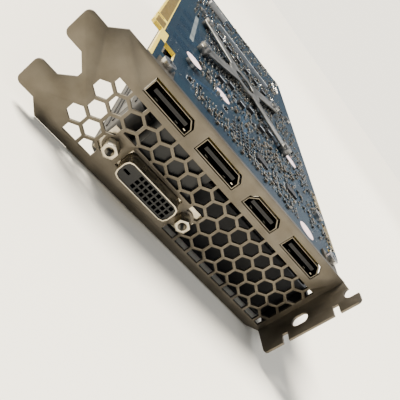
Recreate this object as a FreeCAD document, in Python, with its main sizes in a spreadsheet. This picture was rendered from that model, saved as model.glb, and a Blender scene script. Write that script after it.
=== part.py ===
import FreeCAD, Part
import math
import os
import re
import Sketcher
from FreeCAD import Placement, Rotation, Vector

# Graphics card, two slots wide, with an open two-fan cooler.
# Datum frame of every size below, in millimetres: x grows into the card from the
# bracket's outer face, y grows from the flange's outer face toward the bracket's
# tabs, and z is 0 at the bracket's board-side edge and falls toward the fans.
# Each finished piece is then moved so that the origin is the centre of the
# card's footprint, on the surface the shroud lies on.

SIZES = [
    ("card_end", 262.0, "bracket face to the shroud's far end"),
    ("rest_level", 39.2, "bracket's board-side edge down to the shroud's lowest face"),
    ("bracket_height", 120.02, "flange to tab tips"),
    ("bracket_width", 38.74, "two-slot bracket, edge to edge"),
    ("sheet_gauge", 0.9, "bracket sheet"),
    ("tab_width", 10.2, "width of a bracket tab"),
    ("tab_pitch", 20.32, "slot to slot"),
    ("tab_centre", 9.2, "first tab's centre from the board-side edge"),
    ("tab_length", 6.8, "straight part of a tab"),
    ("tab_shoulder", 4.1, "both legs of the sloped shoulder"),
    ("tab_round", 2.0, "tab corner radius"),
    ("bend_inset", 2.24, "far side of the bracket narrows at the flange"),
    ("bend_rise", 6.0, "height of that narrowing"),
    ("near_lip", 1.9, "depth of the fold along the board side"),
    ("far_lip", 4.2, "depth of the fold along the far side"),
    ("lip_low", 5.0, "where both folds start"),
    ("near_lip_high", 101.9, "end of the board-side fold"),
    ("far_lip_high", 96.5, "end of the far fold"),
    ("flange_reach", 12.2, "flange depth outside the bracket face"),
    ("flange_taper", 1.6, "far side of the flange draws in toward its edge"),
    ("flange_notch", 3.9, "depth of the two edge notches"),
    ("notch_width", 2.4, "width of the edge notches"),
    ("notch_1", 5.35, "board-side edge to the first notch"),
    ("notch_2", 25.7, "board-side edge to the second notch"),
    ("arm_reach", 3.8, "arm of the flange past the board-side edge"),
    ("screw_notch_width", 4.45, "slot screw notch"),
    ("screw_notch_x", 5.93, "slot screw notch, distance from the face"),
    ("screw_notch_end", 0.8, "centre of the notch's round end"),
    ("oval_length", 6.6, "oval hole in the flange"),
    ("oval_width", 4.4, "its width"),
    ("oval_x", 5.8, "its distance from the face"),
    ("oval_depth", 19.1, "its centre from the board-side edge"),
    ("flange_round", 1.6, "flange corner radius"),
    ("cell_pitch", 6.4, "vent cell to vent cell"),
    ("cell_web", 1.05, "metal between two cells"),
    ("cell_first_y", 101.82, "first cell of the reference row"),
    ("cell_row", 17.21, "depth of the reference row"),
    ("vent_low", 3.0, "vent field, flange end"),
    ("vent_high", 105.2, "vent field, tab end"),
    ("vent_near", 11.0, "vent field, board side"),
    ("vent_far", 35.2, "vent field, far side"),
    ("dvi_y", 71.2, "centre of the wide port"),
    ("dvi_depth", 27.2, "its centre from the board-side edge"),
    ("dvi_field_low", 14.6, "solid field round the wide port, toward the flange"),
    ("dvi_field_high", 17.4, "solid field round the wide port, toward the tabs"),
    ("dvi_field_near", 21.9, "its board-side limit"),
    ("post_field", 3.4, "radius of the solid field round a jack post"),
    ("dvi_length", 22.6, "metal shell mouth, along y"),
    ("dvi_height", 7.4, "metal shell mouth, along z"),
    ("dvi_proud", 6.0, "shell in front of the bracket"),
    ("dvi_corner", 2.0, "shell mouth, corner size"),
    ("dvi_recess", 0.3, "moulding behind the shell mouth"),
    ("dvi_pitch", 1.905, "contact hole to contact hole"),
    ("dvi_hole", 1.3, "square contact hole"),
    ("dvi_hole_depth", 3.0, "its depth"),
    ("dvi_grid_shift", 2.4, "middle of the holes from the port's middle"),
    ("dvi_blade_length", 2.4, "slot of the flat blade"),
    ("dvi_blade_width", 0.9, "its width"),
    ("dvi_blade_inset", 3.7, "its start from the mouth's end"),
    ("dvi_plate_length", 40.6, "shell's mounting plate"),
    ("dvi_plate_height", 10.2, "shell's mounting plate"),
    ("dvi_body_gap", 0.3, "moulded body to the tall ports above it"),
    ("dvi_leg_gap", 0.7, "that leg to the shroud's rim"),
    ("dvi_leg_depth", 6.0, "leg that carries its pins to the board"),
    ("post_spacing", 33.02, "jack post to jack post"),
    ("post_flat", 4.8, "hexagon of a jack post, across flats"),
    ("post_proud", 4.8, "jack post in front of the bracket"),
    ("post_thread", 1.42, "radius of the thread hole in a jack post"),
    ("post_thread_depth", 4.0, "its depth"),
    ("port_gap", 0.25, "port shell to cut-out"),
    ("port_near", 2.6, "cut-outs, board-side edge"),
    ("port_height", 5.9, "cut-outs, along z"),
    ("dp_window", 18.4, "cut-out of a tall port, along y"),
    ("dp_1_y", 85.45, "first tall port"),
    ("dp_2_y", 62.5, "second tall port"),
    ("dp_3_y", 18.1, "third tall port"),
    ("dp_corner", 2.1, "cut corner of that port"),
    ("dp_depth", 18.6, "its length into the card"),
    ("hdmi_window", 15.4, "cut-out of the small port, along y"),
    ("hdmi_y", 40.5, "small port"),
    ("hdmi_corner", 2.2, "its two cut corners"),
    ("hdmi_depth", 12.4, "its length into the card"),
    ("port_wall", 0.4, "port shell sheet"),
    ("port_back", 4.5, "solid rear part of a port's moulding"),
    ("tongue_gauge", 1.3, "contact tongue"),
    ("tongue_side", 1.6, "gap beside the tongue"),
    ("port_recess", 0.8, "tongue tip behind the shell's mouth"),
    ("board_start", 1.9, "board to bracket face"),
    ("board_back", 4.0, "board end to shroud end"),
    ("board_overhang", 5.85, "board past the flange plane"),
    ("board_step_x", 21.0, "board is cut back up to here"),
    ("board_step_y", 1.6, "edge of the cut-back stretch"),
    ("board_low", 100.8, "board edge on the slot side"),
    ("relief_start", 19.8, "slot through the board beside the tabs' ear"),
    ("relief_length", 13.7, "its length"),
    ("relief_low", 92.4, "its edge away from the slot side"),
    ("relief_width", 5.0, "its width"),
    ("board_face", 1.6, "solder face below the bracket's edge"),
    ("board_gauge", 1.6, "board thickness"),
    ("edge_tip", 105.3, "tip of the slot connector"),
    ("key_x", 57.15, "centre of the connector's key notch"),
    ("key_width", 1.9, "key notch"),
    ("edge_short", 11.65, "connector before the key"),
    ("edge_long", 71.65, "connector after the key"),
    ("edge_bevel", 1.2, "cut corners of the connector"),
    ("hook_gap", 4.0, "gap before the locking hook"),
    ("hook_width", 4.5, "locking hook"),
    ("contact_pitch", 1.0, "edge contact to edge contact"),
    ("contact_width", 0.7, "edge contact"),
    ("contact_length", 4.3, "edge contact"),
    ("contact_inset", 0.8, "edge contact to the connector's tip"),
    ("link_inset", 0.3, "link contact to the board's edge"),
    ("contact_gauge", 0.06, "plating seen as its own piece"),
    ("link_start", 26.0, "first link contact field"),
    ("link_length", 17.4, "one link contact field"),
    ("link_gap", 12.0, "between the two link fields"),
    ("link_contact", 4.6, "length of a link contact"),
    ("gpu_x", 104.0, "processor centre"),
    ("gpu_y", 52.0, "processor centre"),
    ("substrate_side", 42.5, "processor package"),
    ("substrate_gauge", 1.2, "processor package"),
    ("die_side", 17.8, "processor die"),
    ("die_gauge", 0.8, "processor die"),
    ("hold_spacing", 58.4, "cooler screws, a square"),
    ("hold_radius", 1.5, "cooler screw shank"),
    ("hold_head", 2.8, "cooler screw head radius"),
    ("hold_head_height", 1.3, "cooler screw head"),
    ("cross_lift", 1.8, "retention cross above the board"),
    ("cross_gauge", 1.0, "its sheet"),
    ("cross_arm", 8.0, "its arm width"),
    ("cross_foot", 2.9, "foot of the cross on the board, radius"),
    ("cross_ring", 12.0, "its centre ring radius"),
    ("cross_hole", 7.0, "hole in the centre ring"),
    ("plate_gauge", 2.8, "cooler cold plate"),
    ("plate_edge", 4.0, "plate past the cooler screws"),
    ("pedestal_side", 54.0, "block under the plate"),
    ("memory_offset", 43.0, "memory chips from the processor centre"),
    ("memory_step", 20.0, "memory chip to memory chip"),
    ("memory_length", 14.0, "memory chip"),
    ("memory_width", 12.0, "memory chip"),
    ("memory_gauge", 1.1, "memory chip"),
    ("pad_gauge", 1.0, "thermal pad"),
    ("spreader_gauge", 1.5, "memory heat spreader"),
    ("spreader_gap", 1.0, "spreader window to the cold plate"),
    ("spreader_rim", 2.5, "least strip of the spreader round its window"),
    ("pipe_radius", 3.0, "heat pipe"),
    ("pipe_pitch", 14.0, "heat pipe to heat pipe"),
    ("pipe_cover", 8.0, "heat pipe centre above the fins' lower edge"),
    ("pipe_over", 1.8, "heat pipe past the last fin"),
    ("fin_top", 12.5, "fins' board-side edge"),
    ("fin_low_y", 10.0, "fins, top-edge side"),
    ("fin_high_y", 81.6, "fins, slot side"),
    ("fin_start", 27.0, "first fin"),
    ("fin_back", 14.0, "last fin to the card's end"),
    ("fin_pitch", 2.3, "fin to fin"),
    ("fin_gauge", 0.4, "fin sheet"),
    ("fan_space", 14.2, "shroud's lowest face up to the fins"),
    ("shroud_start", 12.0, "shroud end near the bracket"),
    ("shroud_low_y", -5.0, "shroud, top-edge side"),
    ("shroud_high_y", 90.2, "shroud, slot side"),
    ("shroud_rise", 23.0, "height of the shroud's walls"),
    ("shroud_wall", 1.8, "shroud wall"),
    ("shroud_wing_gap", 2.2, "shroud's top-edge wall to the bracket's outer face"),
    ("shroud_round", 4.5, "shroud corner radius"),
    ("duct_side_gap", 5.4, "fan opening to the shroud's long sides"),
    ("duct_mid_gap", 12.0, "half the least bridge between the openings"),
    ("duct_wall", 1.5, "wall round a fan opening"),
    ("tip_gap", 1.5, "blade tip to opening"),
    ("frame_gauge", 1.6, "fan carrier plate and arms"),
    ("frame_gap", 0.4, "fan carrier to fins"),
    ("frame_radius", 17.0, "fan carrier disc"),
    ("arm_width", 4.0, "fan carrier arm"),
    ("hub_radius", 18.5, "rotor hub"),
    ("hub_wall", 1.5, "rotor hub wall"),
    ("hub_gap", 0.6, "rotor to carrier"),
    ("rotor_recess", 1.8, "rotor face inside the shroud face"),
    ("blade_gauge", 1.1, "fan blade"),
    ("blade_chord", 11.0, "fan blade at the hub"),
    ("blade_tip_chord", 21.0, "fan blade at the tip"),
    ("blade_count", 9, "blades of one fan"),
    ("blade_sweep", 22.0, "degrees that the blade's tip leads its root"),
    ("blade_inset", 0.6, "blade edges inside the hub's two ends"),
    ("pole_width", 3.0, "arm of a stator pole"),
    ("shoe_width", 9.0, "face of a stator pole"),
    ("shoe_gauge", 1.6, "its thickness"),
    ("stator_ring", 2.5, "stator's inner ring"),
    ("stator_gap", 1.2, "stator to the rotor's floor and rim"),
    ("ring_gap", 0.5, "magnet ring to the rotor's floor and rim"),
    ("axle_gap", 0.6, "shaft, bearing and tube to what they end at"),
    ("magnet_gauge", 1.4, "magnet ring"),
    ("magnet_gap", 0.9, "magnet ring to stator"),
    ("shaft_radius", 1.5, "fan shaft"),
    ("running_gap", 0.05, "shaft to bearing, on the radius"),
    ("bearing_radius", 3.2, "fan bearing"),
    ("tube_wall", 1.0, "bearing tube of the carrier"),
    ("boss_radius", 3.0, "shroud boss"),
    ("boss_inset_x", 22.5, "far bosses from the shroud's end"),
    ("boss_start_inset", 30.5, "near bosses from the shroud's end"),
    ("boss_inset_y", 5.0, "bosses from the shroud's long faces"),
    ("screw_radius", 1.2, "board screw shank"),
    ("screw_length", 6.0, "board screw below the head"),
    ("screw_head", 2.6, "board screw head radius"),
    ("screw_head_height", 1.7, "board screw head"),
    ("ear_length", 12.0, "bracket ear on the board"),
    ("ear_width", 7.0, "bracket ear"),
    ("ear_low_y", 5.6, "ear near the flange"),
    ("ear_high_y", 94.2, "ear near the tabs"),
    ("ear_screw_x", 8.8, "screw of a bracket ear"),
    ("choke_x", 163.0, "row of chokes"),
    ("choke_side", 10.0, "choke"),
    ("choke_height", 7.0, "choke"),
    ("choke_pitch", 12.0, "choke to choke"),
    ("choke_first_y", 16.5, "first choke"),
    ("switch_x", 174.0, "row of power transistors"),
    ("switch_length", 6.0, "power transistor"),
    ("switch_width", 5.0, "power transistor"),
    ("switch_height", 1.0, "power transistor"),
    ("can_x", 184.5, "row of capacitors"),
    ("can_radius", 3.1, "capacitor can"),
    ("can_height", 8.0, "capacitor can"),
    ("power_back", 27.0, "power socket's end to the board's end"),
    ("power_pitch", 4.2, "power pin to power pin"),
    ("power_cell", 3.5, "power socket cell"),
    ("power_wall", 1.1, "power socket outer wall"),
    ("power_depth", 13.0, "power socket along y"),
    ("power_cell_depth", 10.0, "power socket cell along y"),
    ("bar_x", 175.0, "stiffening bar on the solder face"),
    ("bar_low_y", 23.0, "its end"),
    ("bar_length", 49.0, "its length"),
    ("bar_width", 2.4, "its width"),
    ("bar_height", 2.2, "its height"),
    ("ceramic_length", 1.0, "ceramic capacitor, along x"),
    ("ceramic_width", 1.8, "ceramic capacitor, along y"),
    ("ceramic_height", 0.9, "ceramic capacitor"),
    ("polymer_length", 4.3, "polymer capacitor, along x"),
    ("polymer_width", 3.6, "polymer capacitor, along y"),
    ("polymer_height", 1.9, "polymer capacitor"),
    ("logic_length", 6.0, "control chip"),
    ("logic_width", 6.0, "control chip"),
    ("logic_height", 1.0, "control chip"),
    ("resistor_length", 0.9, "resistor, along x"),
    ("resistor_width", 1.6, "resistor, along y"),
    ("resistor_height", 0.5, "resistor"),
    ("choke_pin", 3.6, "soldered pin from the choke's middle"),
    ("joint_radius", 0.95, "solder joint"),
    ("joint_height", 0.8, "solder joint"),
    ("power_inset", 0.3, "power socket's mouth inside the board's edge"),
    ("power_pin", 1.1, "square power pin"),
    ("power_pin_inset", 1.5, "its tip behind the socket's mouth"),
    ("latch_width", 4.0, "latch ramp of the power socket"),
    ("latch_height", 1.6, "latch ramp of the power socket"),
    ("latch_inset", 2.0, "ramp behind the socket's mouth"),
    ("header_back", 12.0, "fan header to the board's end"),
    ("header_y", 20.0, "fan header"),
    ("header_length", 10.0, "fan header"),
    ("header_width", 5.0, "fan header"),
    ("header_height", 5.5, "fan header"),
    ("header_wall", 0.8, "its wall and floor"),
    ("sticker_radius", 4.0, "round blank sticker"),
    ("sticker_gauge", 0.1, "round blank sticker"),
]

VALUE = {alias: value for alias, value, note in SIZES}
WORD = re.compile(r"\b[a-z][a-z_0-9]*\b")
SHIFT = (
    "(card_end - flange_reach) / 2",
    "(bracket_height - board_overhang) / 2",
    "-rest_level",
)

doc = FreeCAD.newDocument("graphics_card")
sheet = doc.addObject("Spreadsheet::Sheet", "dims")
for row, (alias, number, note) in enumerate(SIZES, start=1):
    sheet.set(f"A{row}", note)
    sheet.set(f"B{row}", str(number))
    sheet.setAlias(f"B{row}", alias)
doc.recompute()

places = {}
pieces = []


def bound(text):
    """The expression with every alias tied to the sheet."""
    return WORD.sub(lambda m: "dims." + m[0] if m[0] in VALUE else m[0], text)


def bind(thing, name, text):
    thing.setExpression(name, bound(text))


def place(thing, x="0", y="0", z="0"):
    places[thing.Name] = (x, y, z)
    for axis, text in zip("xyz", (x, y, z)):
        bind(thing, f"Placement.Base.{axis}", text)
    return thing


def box(name, x, y, z, dx, dy, dz):
    """A block from its low corner and its three lengths."""
    thing = doc.addObject("Part::Box", name)
    bind(thing, "Length", dx)
    bind(thing, "Width", dy)
    bind(thing, "Height", dz)
    return place(thing, x, y, z)


def rod(name, x, y, z, radius, length, turn=None):
    """A cylinder from the centre of its low end, upright unless it is turned."""
    thing = doc.addObject("Part::Cylinder", name)
    bind(thing, "Radius", radius)
    bind(thing, "Height", length)
    if turn:
        thing.Placement = Placement(Vector(), turn)
    return place(thing, x, y, z)


ALONG_X = Rotation(Vector(0, 1, 0), 90)
ALONG_Y = Rotation(Vector(1, 0, 0), -90)


def cut(name, base, tools):
    thing = doc.addObject("Part::Cut", name)
    thing.Base = base
    thing.Tool = tools[0] if len(tools) == 1 else fuse(name + "_tools", tools)
    return thing


def fuse(name, shapes):
    thing = doc.addObject("Part::MultiFuse", name)
    thing.Shapes = shapes
    return thing


def group(name, shapes):
    thing = doc.addObject("Part::Compound", name)
    thing.Links = shapes
    return thing


def shaped(name, shape):
    thing = doc.addObject("Part::Feature", name)
    thing.Shape = shape
    return thing


def piece(label, thing):
    """Names a finished piece and moves it from the datum frame to the card's own."""
    thing.Label = label
    x, y, z = places.get(thing.Name, ("0", "0", "0"))
    for axis, text, shift in zip("xyz", (x, y, z), SHIFT):
        bind(thing, f"Placement.Base.{axis}", f"({text}) - ({shift})")
    pieces.append(thing)
    return thing


def outline(name, plane, offset, loops, depth):
    """A body padded from closed loops of points; each coordinate is an expression."""
    body = doc.addObject("PartDesign::Body", name)
    roles = {feature.Role: feature for feature in body.Origin.OriginFeatures}
    sketch = body.newObject("Sketcher::SketchObject", name + "_sketch")
    sketch.AttachmentSupport = (roles[plane], [""])
    sketch.MapMode = "FlatFace"
    bind(sketch, "AttachmentOffset.Base.z", offset)
    first = 0
    for loop in loops:
        count = len(loop)
        ring = [Vector(10 * math.cos(k), 10 * math.sin(k), 0) for k in range(count)]
        for k in range(count):
            sketch.addGeometry(Part.LineSegment(ring[k], ring[(k + 1) % count]))
        for k in range(count):
            sketch.addConstraint(
                Sketcher.Constraint("Coincident", first + k, 2, first + (k + 1) % count, 1)
            )
        for k, (across, up) in enumerate(loop):
            for kind, text in (("DistanceX", across), ("DistanceY", up)):
                index = sketch.addConstraint(
                    Sketcher.Constraint(kind, -1, 1, first + k, 1, 1.0)
                )
                bind(sketch, f"Constraints[{index}]", text)
        first += count
    pad = body.newObject("PartDesign::Pad", name + "_pad")
    pad.Profile = sketch
    bind(pad, "Length", depth)
    doc.recompute()
    return body


def rounded(body, radius, chosen):
    """Fillets the straight edges of a body whose ends both pass the test."""
    base = body.Tip
    names = []
    for index, edge in enumerate(base.Shape.Edges, start=1):
        ends = [vertex.Point for vertex in edge.Vertexes]
        if len(ends) == 2 and chosen(ends[0], ends[1]):
            names.append(f"Edge{index}")
    fillet = body.newObject("PartDesign::Fillet", body.Name + "_fillet")
    fillet.Base = (base, names)
    bind(fillet, "Radius", radius)
    doc.recompute()
    return body


def blocks(spots, dx, dy, dz):
    """A compound of equal blocks, each centred on its spot and standing on its z."""
    half = Vector(dx / 2, dy / 2, 0)
    return Part.makeCompound([Part.makeBox(dx, dy, dz, Vector(*spot) - half) for spot in spots])


# Heights that several pieces share, from the bracket's board-side edge.
SOLDER = "-board_face"
UNDER = "-(board_face + board_gauge)"
DIE_FACE = "-(board_face + board_gauge + substrate_gauge + die_gauge)"
PIPE = "-(rest_level - fan_space - pipe_cover)"

V = VALUE
solder = -V["board_face"]
under = solder - V["board_gauge"]
duct_radius = min(
    (V["shroud_high_y"] - V["shroud_low_y"]) / 2 - V["duct_side_gap"],
    (V["card_end"] - V["shroud_start"]) / 4 - V["duct_mid_gap"],
)
fan_y = (V["shroud_high_y"] + V["shroud_low_y"]) / 2
fin_low = -(V["rest_level"] - V["fan_space"])
board_end = V["card_end"] - V["board_back"]
# The memory stands clear of the cooler's plate, however far apart its screws are.
memory_out = max(
    V["memory_offset"],
    V["hold_spacing"] / 2 + V["plate_edge"] + V["spreader_gap"] + V["memory_width"] / 2,
)
boss_xs = (
    V["shroud_start"] + V["boss_start_inset"],
    V["gpu_x"] + memory_out + V["memory_width"] / 2 + 2 * V["boss_radius"],
    V["card_end"] - V["boss_inset_x"],
)
boss_ys = (V["shroud_low_y"] + V["boss_inset_y"] + V["boss_radius"],
           V["shroud_high_y"] - V["boss_inset_y"])
boss_spots = [(x, y) for x in boss_xs for y in boss_ys]
hold_spots = [
    (V["gpu_x"] + i * V["hold_spacing"] / 2, V["gpu_y"] + j * V["hold_spacing"] / 2)
    for i in (-1, 1)
    for j in (-1, 1)
]
choke_rows = [V["choke_first_y"] + k * V["choke_pitch"] for k in range(6)]
ear_spots = [(V["ear_screw_x"], V["ear_low_y"]), (V["ear_screw_x"], V["ear_high_y"])]


# ---- Bracket -----------------------------------------------------------------

def hexagon(y, z, flat, x, length):
    """A prism along x whose corners point along z."""
    corner = flat / math.sqrt(3)
    ring = [
        Vector(x, y + corner * math.sin(math.radians(60 * k)),
               z + corner * math.cos(math.radians(60 * k)))
        for k in range(7)
    ]
    return Part.Face(Part.makePolygon(ring)).extrude(Vector(length, 0, 0))


def vent_cells():
    """The honeycomb: hexagons in staggered rows, trimmed to the vent field."""
    depth = 3 * V["sheet_gauge"]
    x = -V["sheet_gauge"]
    row_step = V["cell_pitch"] * math.sqrt(3) / 2
    field = Part.makeBox(
        depth, V["vent_high"] - V["vent_low"], V["vent_far"] - V["vent_near"],
        Vector(x, V["vent_low"], -V["vent_far"]))
    solid_field = Part.makeBox(
        depth, V["dvi_field_low"] + V["dvi_field_high"], V["bracket_width"],
        Vector(x, V["dvi_y"] - V["dvi_field_low"], -V["dvi_field_near"] - V["bracket_width"]))
    field = field.cut(solid_field)
    for sign in (-1, 1):
        y = V["dvi_y"] + sign * V["post_spacing"] / 2
        field = field.cut(Part.makeCylinder(
            V["post_field"], depth, Vector(x, y, -V["dvi_depth"]), Vector(1, 0, 0)))
    cells = []
    rows = range(-4, 3)
    count = int((V["vent_high"] - V["vent_low"]) / V["cell_pitch"]) + 2
    for row in rows:
        z = -V["cell_row"] + row * row_step
        for column in range(count):
            y = V["cell_first_y"] - V["cell_pitch"] * (column + 0.5 * (row % 2))
            flat = V["cell_pitch"] - V["cell_web"]
            cell = hexagon(y, z, flat, x, depth).common(field)
            for solid in cell.Solids:
                if solid.Volume > 0.05 * depth * flat * flat:
                    cells.append(solid)
    return Part.makeCompound(cells)


TAB_1_NEAR = "-(tab_centre - tab_width / 2)"
TAB_1_FAR = "-(tab_centre + tab_width / 2)"
TAB_2_NEAR = "-(tab_centre + tab_pitch - tab_width / 2)"
TAB_2_FAR = "-(tab_centre + tab_pitch + tab_width / 2)"
TAB_BASE = "bracket_height - tab_length"
TAB_FOOT = "bracket_height - tab_length - tab_shoulder"


def bracket_plate():
    loop = [
        ("0", "0"),
        (TAB_FOOT, "0"),
        (TAB_BASE, TAB_1_NEAR),
        ("bracket_height", TAB_1_NEAR),
        ("bracket_height", TAB_1_FAR),
        (TAB_BASE, TAB_1_FAR),
        (TAB_FOOT, TAB_1_FAR + " - tab_shoulder"),
        (TAB_FOOT, TAB_2_NEAR + " + tab_shoulder"),
        (TAB_BASE, TAB_2_NEAR),
        ("bracket_height", TAB_2_NEAR),
        ("bracket_height", TAB_2_FAR),
        (TAB_BASE, TAB_2_FAR),
        (TAB_FOOT, "-bracket_width"),
        ("bend_rise", "-bracket_width"),
        ("0", "-(bracket_width - bend_inset)"),
    ]
    plate = outline("bracket_plate", "YZ_Plane", "0", [loop], "sheet_gauge")
    tip = V["bracket_height"] - 0.01
    return rounded(plate, "tab_round", lambda a, b: min(a.y, b.y) > tip and abs(a.z - b.z) < 0.01)


def bracket_flange():
    def notch(depth):
        return [
            ("-flange_reach", f"-({depth} + notch_width / 2)"),
            ("-(flange_reach - flange_notch)", f"-({depth} + notch_width / 2)"),
            ("-(flange_reach - flange_notch)", f"-({depth} - notch_width / 2)"),
            ("-flange_reach", f"-({depth} - notch_width / 2)"),
        ]

    loop = [
        ("sheet_gauge", "0"),
        ("sheet_gauge", "-(bracket_width - bend_inset)"),
        ("0", "-(bracket_width - bend_inset)"),
        ("-flange_reach", "-(bracket_width - bend_inset - flange_taper)"),
    ]
    loop += notch("notch_2") + notch("notch_1")
    loop += [
        ("-flange_reach", "arm_reach"),
        ("-(screw_notch_x + screw_notch_width / 2)", "arm_reach"),
        ("-(screw_notch_x + screw_notch_width / 2)", "screw_notch_end"),
        ("-(screw_notch_x - screw_notch_width / 2)", "screw_notch_end"),
        ("0", "screw_notch_end - 0.8"),
    ]
    flange = outline("bracket_flange", "XZ_Plane", "-sheet_gauge", [loop], "sheet_gauge")

    def corner(a, b):
        if abs(a.x - b.x) > 0.01 or abs(a.z - b.z) > 0.01:
            return False
        far = a.z < -V["bracket_width"] + V["bend_inset"] + V["flange_taper"] + 0.1
        return a.x < -V["flange_reach"] + 0.1 and (far or a.z > 0.1)

    return rounded(flange, "flange_round", corner)


def bracket():
    high = "(near_lip_high - lip_low)"
    sheets = [
        bracket_plate(),
        bracket_flange(),
        box("near_fold", "0", "lip_low", "-sheet_gauge", "near_lip", high, "sheet_gauge"),
        box("far_fold", "0", "bend_rise", "-bracket_width", "far_lip",
            "(far_lip_high - bend_rise)", "sheet_gauge"),
    ]
    for end in ("low", "high"):
        y = f"ear_{end}_y - ear_width / 2"
        sheets.append(box(f"ear_{end}", "0", y, SOLDER, "ear_length", "ear_width", "sheet_gauge"))
    tools = [
        rod("notch_round", "-screw_notch_x", "-sheet_gauge", "screw_notch_end",
            "screw_notch_width / 2", "3 * sheet_gauge", ALONG_Y),
        box("oval_mid", "-(oval_x + oval_width / 2)", "-sheet_gauge",
            "-(oval_depth + (oval_length - oval_width) / 2)",
            "oval_width", "3 * sheet_gauge", "oval_length - oval_width"),
        shaped("vent", vent_cells()),
    ]
    for sign in "+-":
        z = f"-oval_depth {sign} (oval_length - oval_width) / 2"
        tools.append(rod("oval_end", "-oval_x", "-sheet_gauge", z, "oval_width / 2",
                         "3 * sheet_gauge", ALONG_Y))
    for name, port_y, window in (
        ("dp_1", "dp_1_y", "dp_window"),
        ("dp_2", "dp_2_y", "dp_window"),
        ("dp_3", "dp_3_y", "dp_window"),
        ("hdmi", "hdmi_y", "hdmi_window"),
    ):
        tools.append(outline(name + "_window", "YZ_Plane", "-sheet_gauge",
                             [port_loop(port_y, window, "0", name)], "3 * sheet_gauge"))
    tools.append(box("dvi_window", "-sheet_gauge", "dvi_y - dvi_length / 2 - port_gap",
                     "-(dvi_depth + dvi_height / 2 + port_gap)", "3 * sheet_gauge",
                     "dvi_length + 2 * port_gap", "dvi_height + 2 * port_gap"))
    for sign in "+-":
        tools.append(rod("post_hole", "-sheet_gauge", f"dvi_y {sign} post_spacing / 2",
                         "-dvi_depth", "post_thread + port_gap", "3 * sheet_gauge", ALONG_X))
    for x, y in (("ear_screw_x", "ear_low_y"), ("ear_screw_x", "ear_high_y")):
        tools.append(rod("ear_hole", x, y, "-2 * board_face", "screw_radius", "3 * board_face"))
    return cut("io_bracket", fuse("bracket_sheets", sheets), tools)


# ---- Ports -------------------------------------------------------------------

def port_loop(port_y, window, inset, name, near="-port_near"):
    """A port outline: the tall port has one cut corner, the small one has two."""
    low = f"{port_y} - {window} / 2 + {inset}"
    high = f"{port_y} + {window} / 2 - {inset}"
    far = f"-(port_near + port_height - {inset})"
    corner = "hdmi_corner" if name == "hdmi" else "dp_corner"
    loop = [(low, far), (low, f"{near} - {corner}"), (f"{low} + {corner}", near)]
    if name == "hdmi":
        loop += [(f"{high} - {corner}", near), (high, f"{near} - {corner}")]
    else:
        loop += [(high, near)]
    loop += [(high, far)]
    return loop


def port_shell(name, port_y, window, depth):
    """A drawn sheet tube that sits on the board's cooler side."""
    outer = port_loop(port_y, window, "port_gap", name, UNDER)
    inner = port_loop(port_y, window, "(port_gap + port_wall)", name, UNDER + " - port_wall")
    return outline(name + "_shell", "YZ_Plane", "0", [outer, inner], depth)


def port_core(name, port_y, window, depth):
    """The moulding: a block that fills the rear of the shell, and its tongue."""
    filled = port_loop(port_y, window, "(port_gap + port_wall)", name, UNDER + " - port_wall")
    rear = outline(name + "_rear", "YZ_Plane", f"{depth} - port_back", [filled], "port_back")
    side = f"({window} / 2 - port_gap - port_wall - tongue_side)"
    tongue = box(name + "_blade", "port_recess", f"{port_y} - {side}",
                 "-(board_face + board_gauge + port_near + port_height - port_gap) / 2"
                 " - tongue_gauge / 2",
                 f"{depth} - port_back - port_recess", f"2 * {side}", "tongue_gauge")
    return fuse(name + "_core", [rear, tongue])


def dvi_loop(inset):
    """The wide port's mouth: each corner is rounded by three points of its arc."""
    low = f"dvi_y - dvi_length / 2 + {inset}"
    high = f"dvi_y + dvi_length / 2 - {inset}"
    near = f"-(dvi_depth - dvi_height / 2 + {inset})"
    far = f"-(dvi_depth + dvi_height / 2 - {inset})"
    arc = f"{1 - math.sqrt(0.5):.4f} * dvi_corner"
    return [
        (low, far + " + dvi_corner"),
        (low, near + " - dvi_corner"),
        (f"{low} + {arc}", f"{near} - {arc}"),
        (f"{low} + dvi_corner", near),
        (f"{high} - dvi_corner", near),
        (f"{high} - {arc}", f"{near} - {arc}"),
        (high, near + " - dvi_corner"),
        (high, far + " + dvi_corner"),
        (f"{high} - {arc}", f"{far} + {arc}"),
        (f"{high} - dvi_corner", far),
        (f"{low} + dvi_corner", far),
        (f"{low} + {arc}", f"{far} + {arc}"),
    ]


def dvi_shell():
    """Mouth and mounting plate of the wide port, one drawn sheet."""
    mouth = outline("dvi_mouth", "YZ_Plane", "-dvi_proud",
                    [dvi_loop("0"), dvi_loop("port_wall")], "dvi_proud + sheet_gauge")
    plate = outline(
        "dvi_plate", "YZ_Plane", "sheet_gauge",
        [[("dvi_y - dvi_plate_length / 2", "-(dvi_depth + dvi_plate_height / 2)"),
          ("dvi_y + dvi_plate_length / 2", "-(dvi_depth + dvi_plate_height / 2)"),
          ("dvi_y + dvi_plate_length / 2", "-(dvi_depth - dvi_plate_height / 2)"),
          ("dvi_y - dvi_plate_length / 2", "-(dvi_depth - dvi_plate_height / 2)")],
         dvi_loop("port_wall")],
        "port_wall")
    holes = [
        rod("dvi_plate_hole", "0", f"dvi_y {sign} post_spacing / 2", "-dvi_depth",
            "post_thread + port_gap", "3 * sheet_gauge", ALONG_X)
        for sign in "+-"
    ]
    return cut("dvi_shell", fuse("dvi_sheets", [mouth, plate]), holes)


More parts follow.
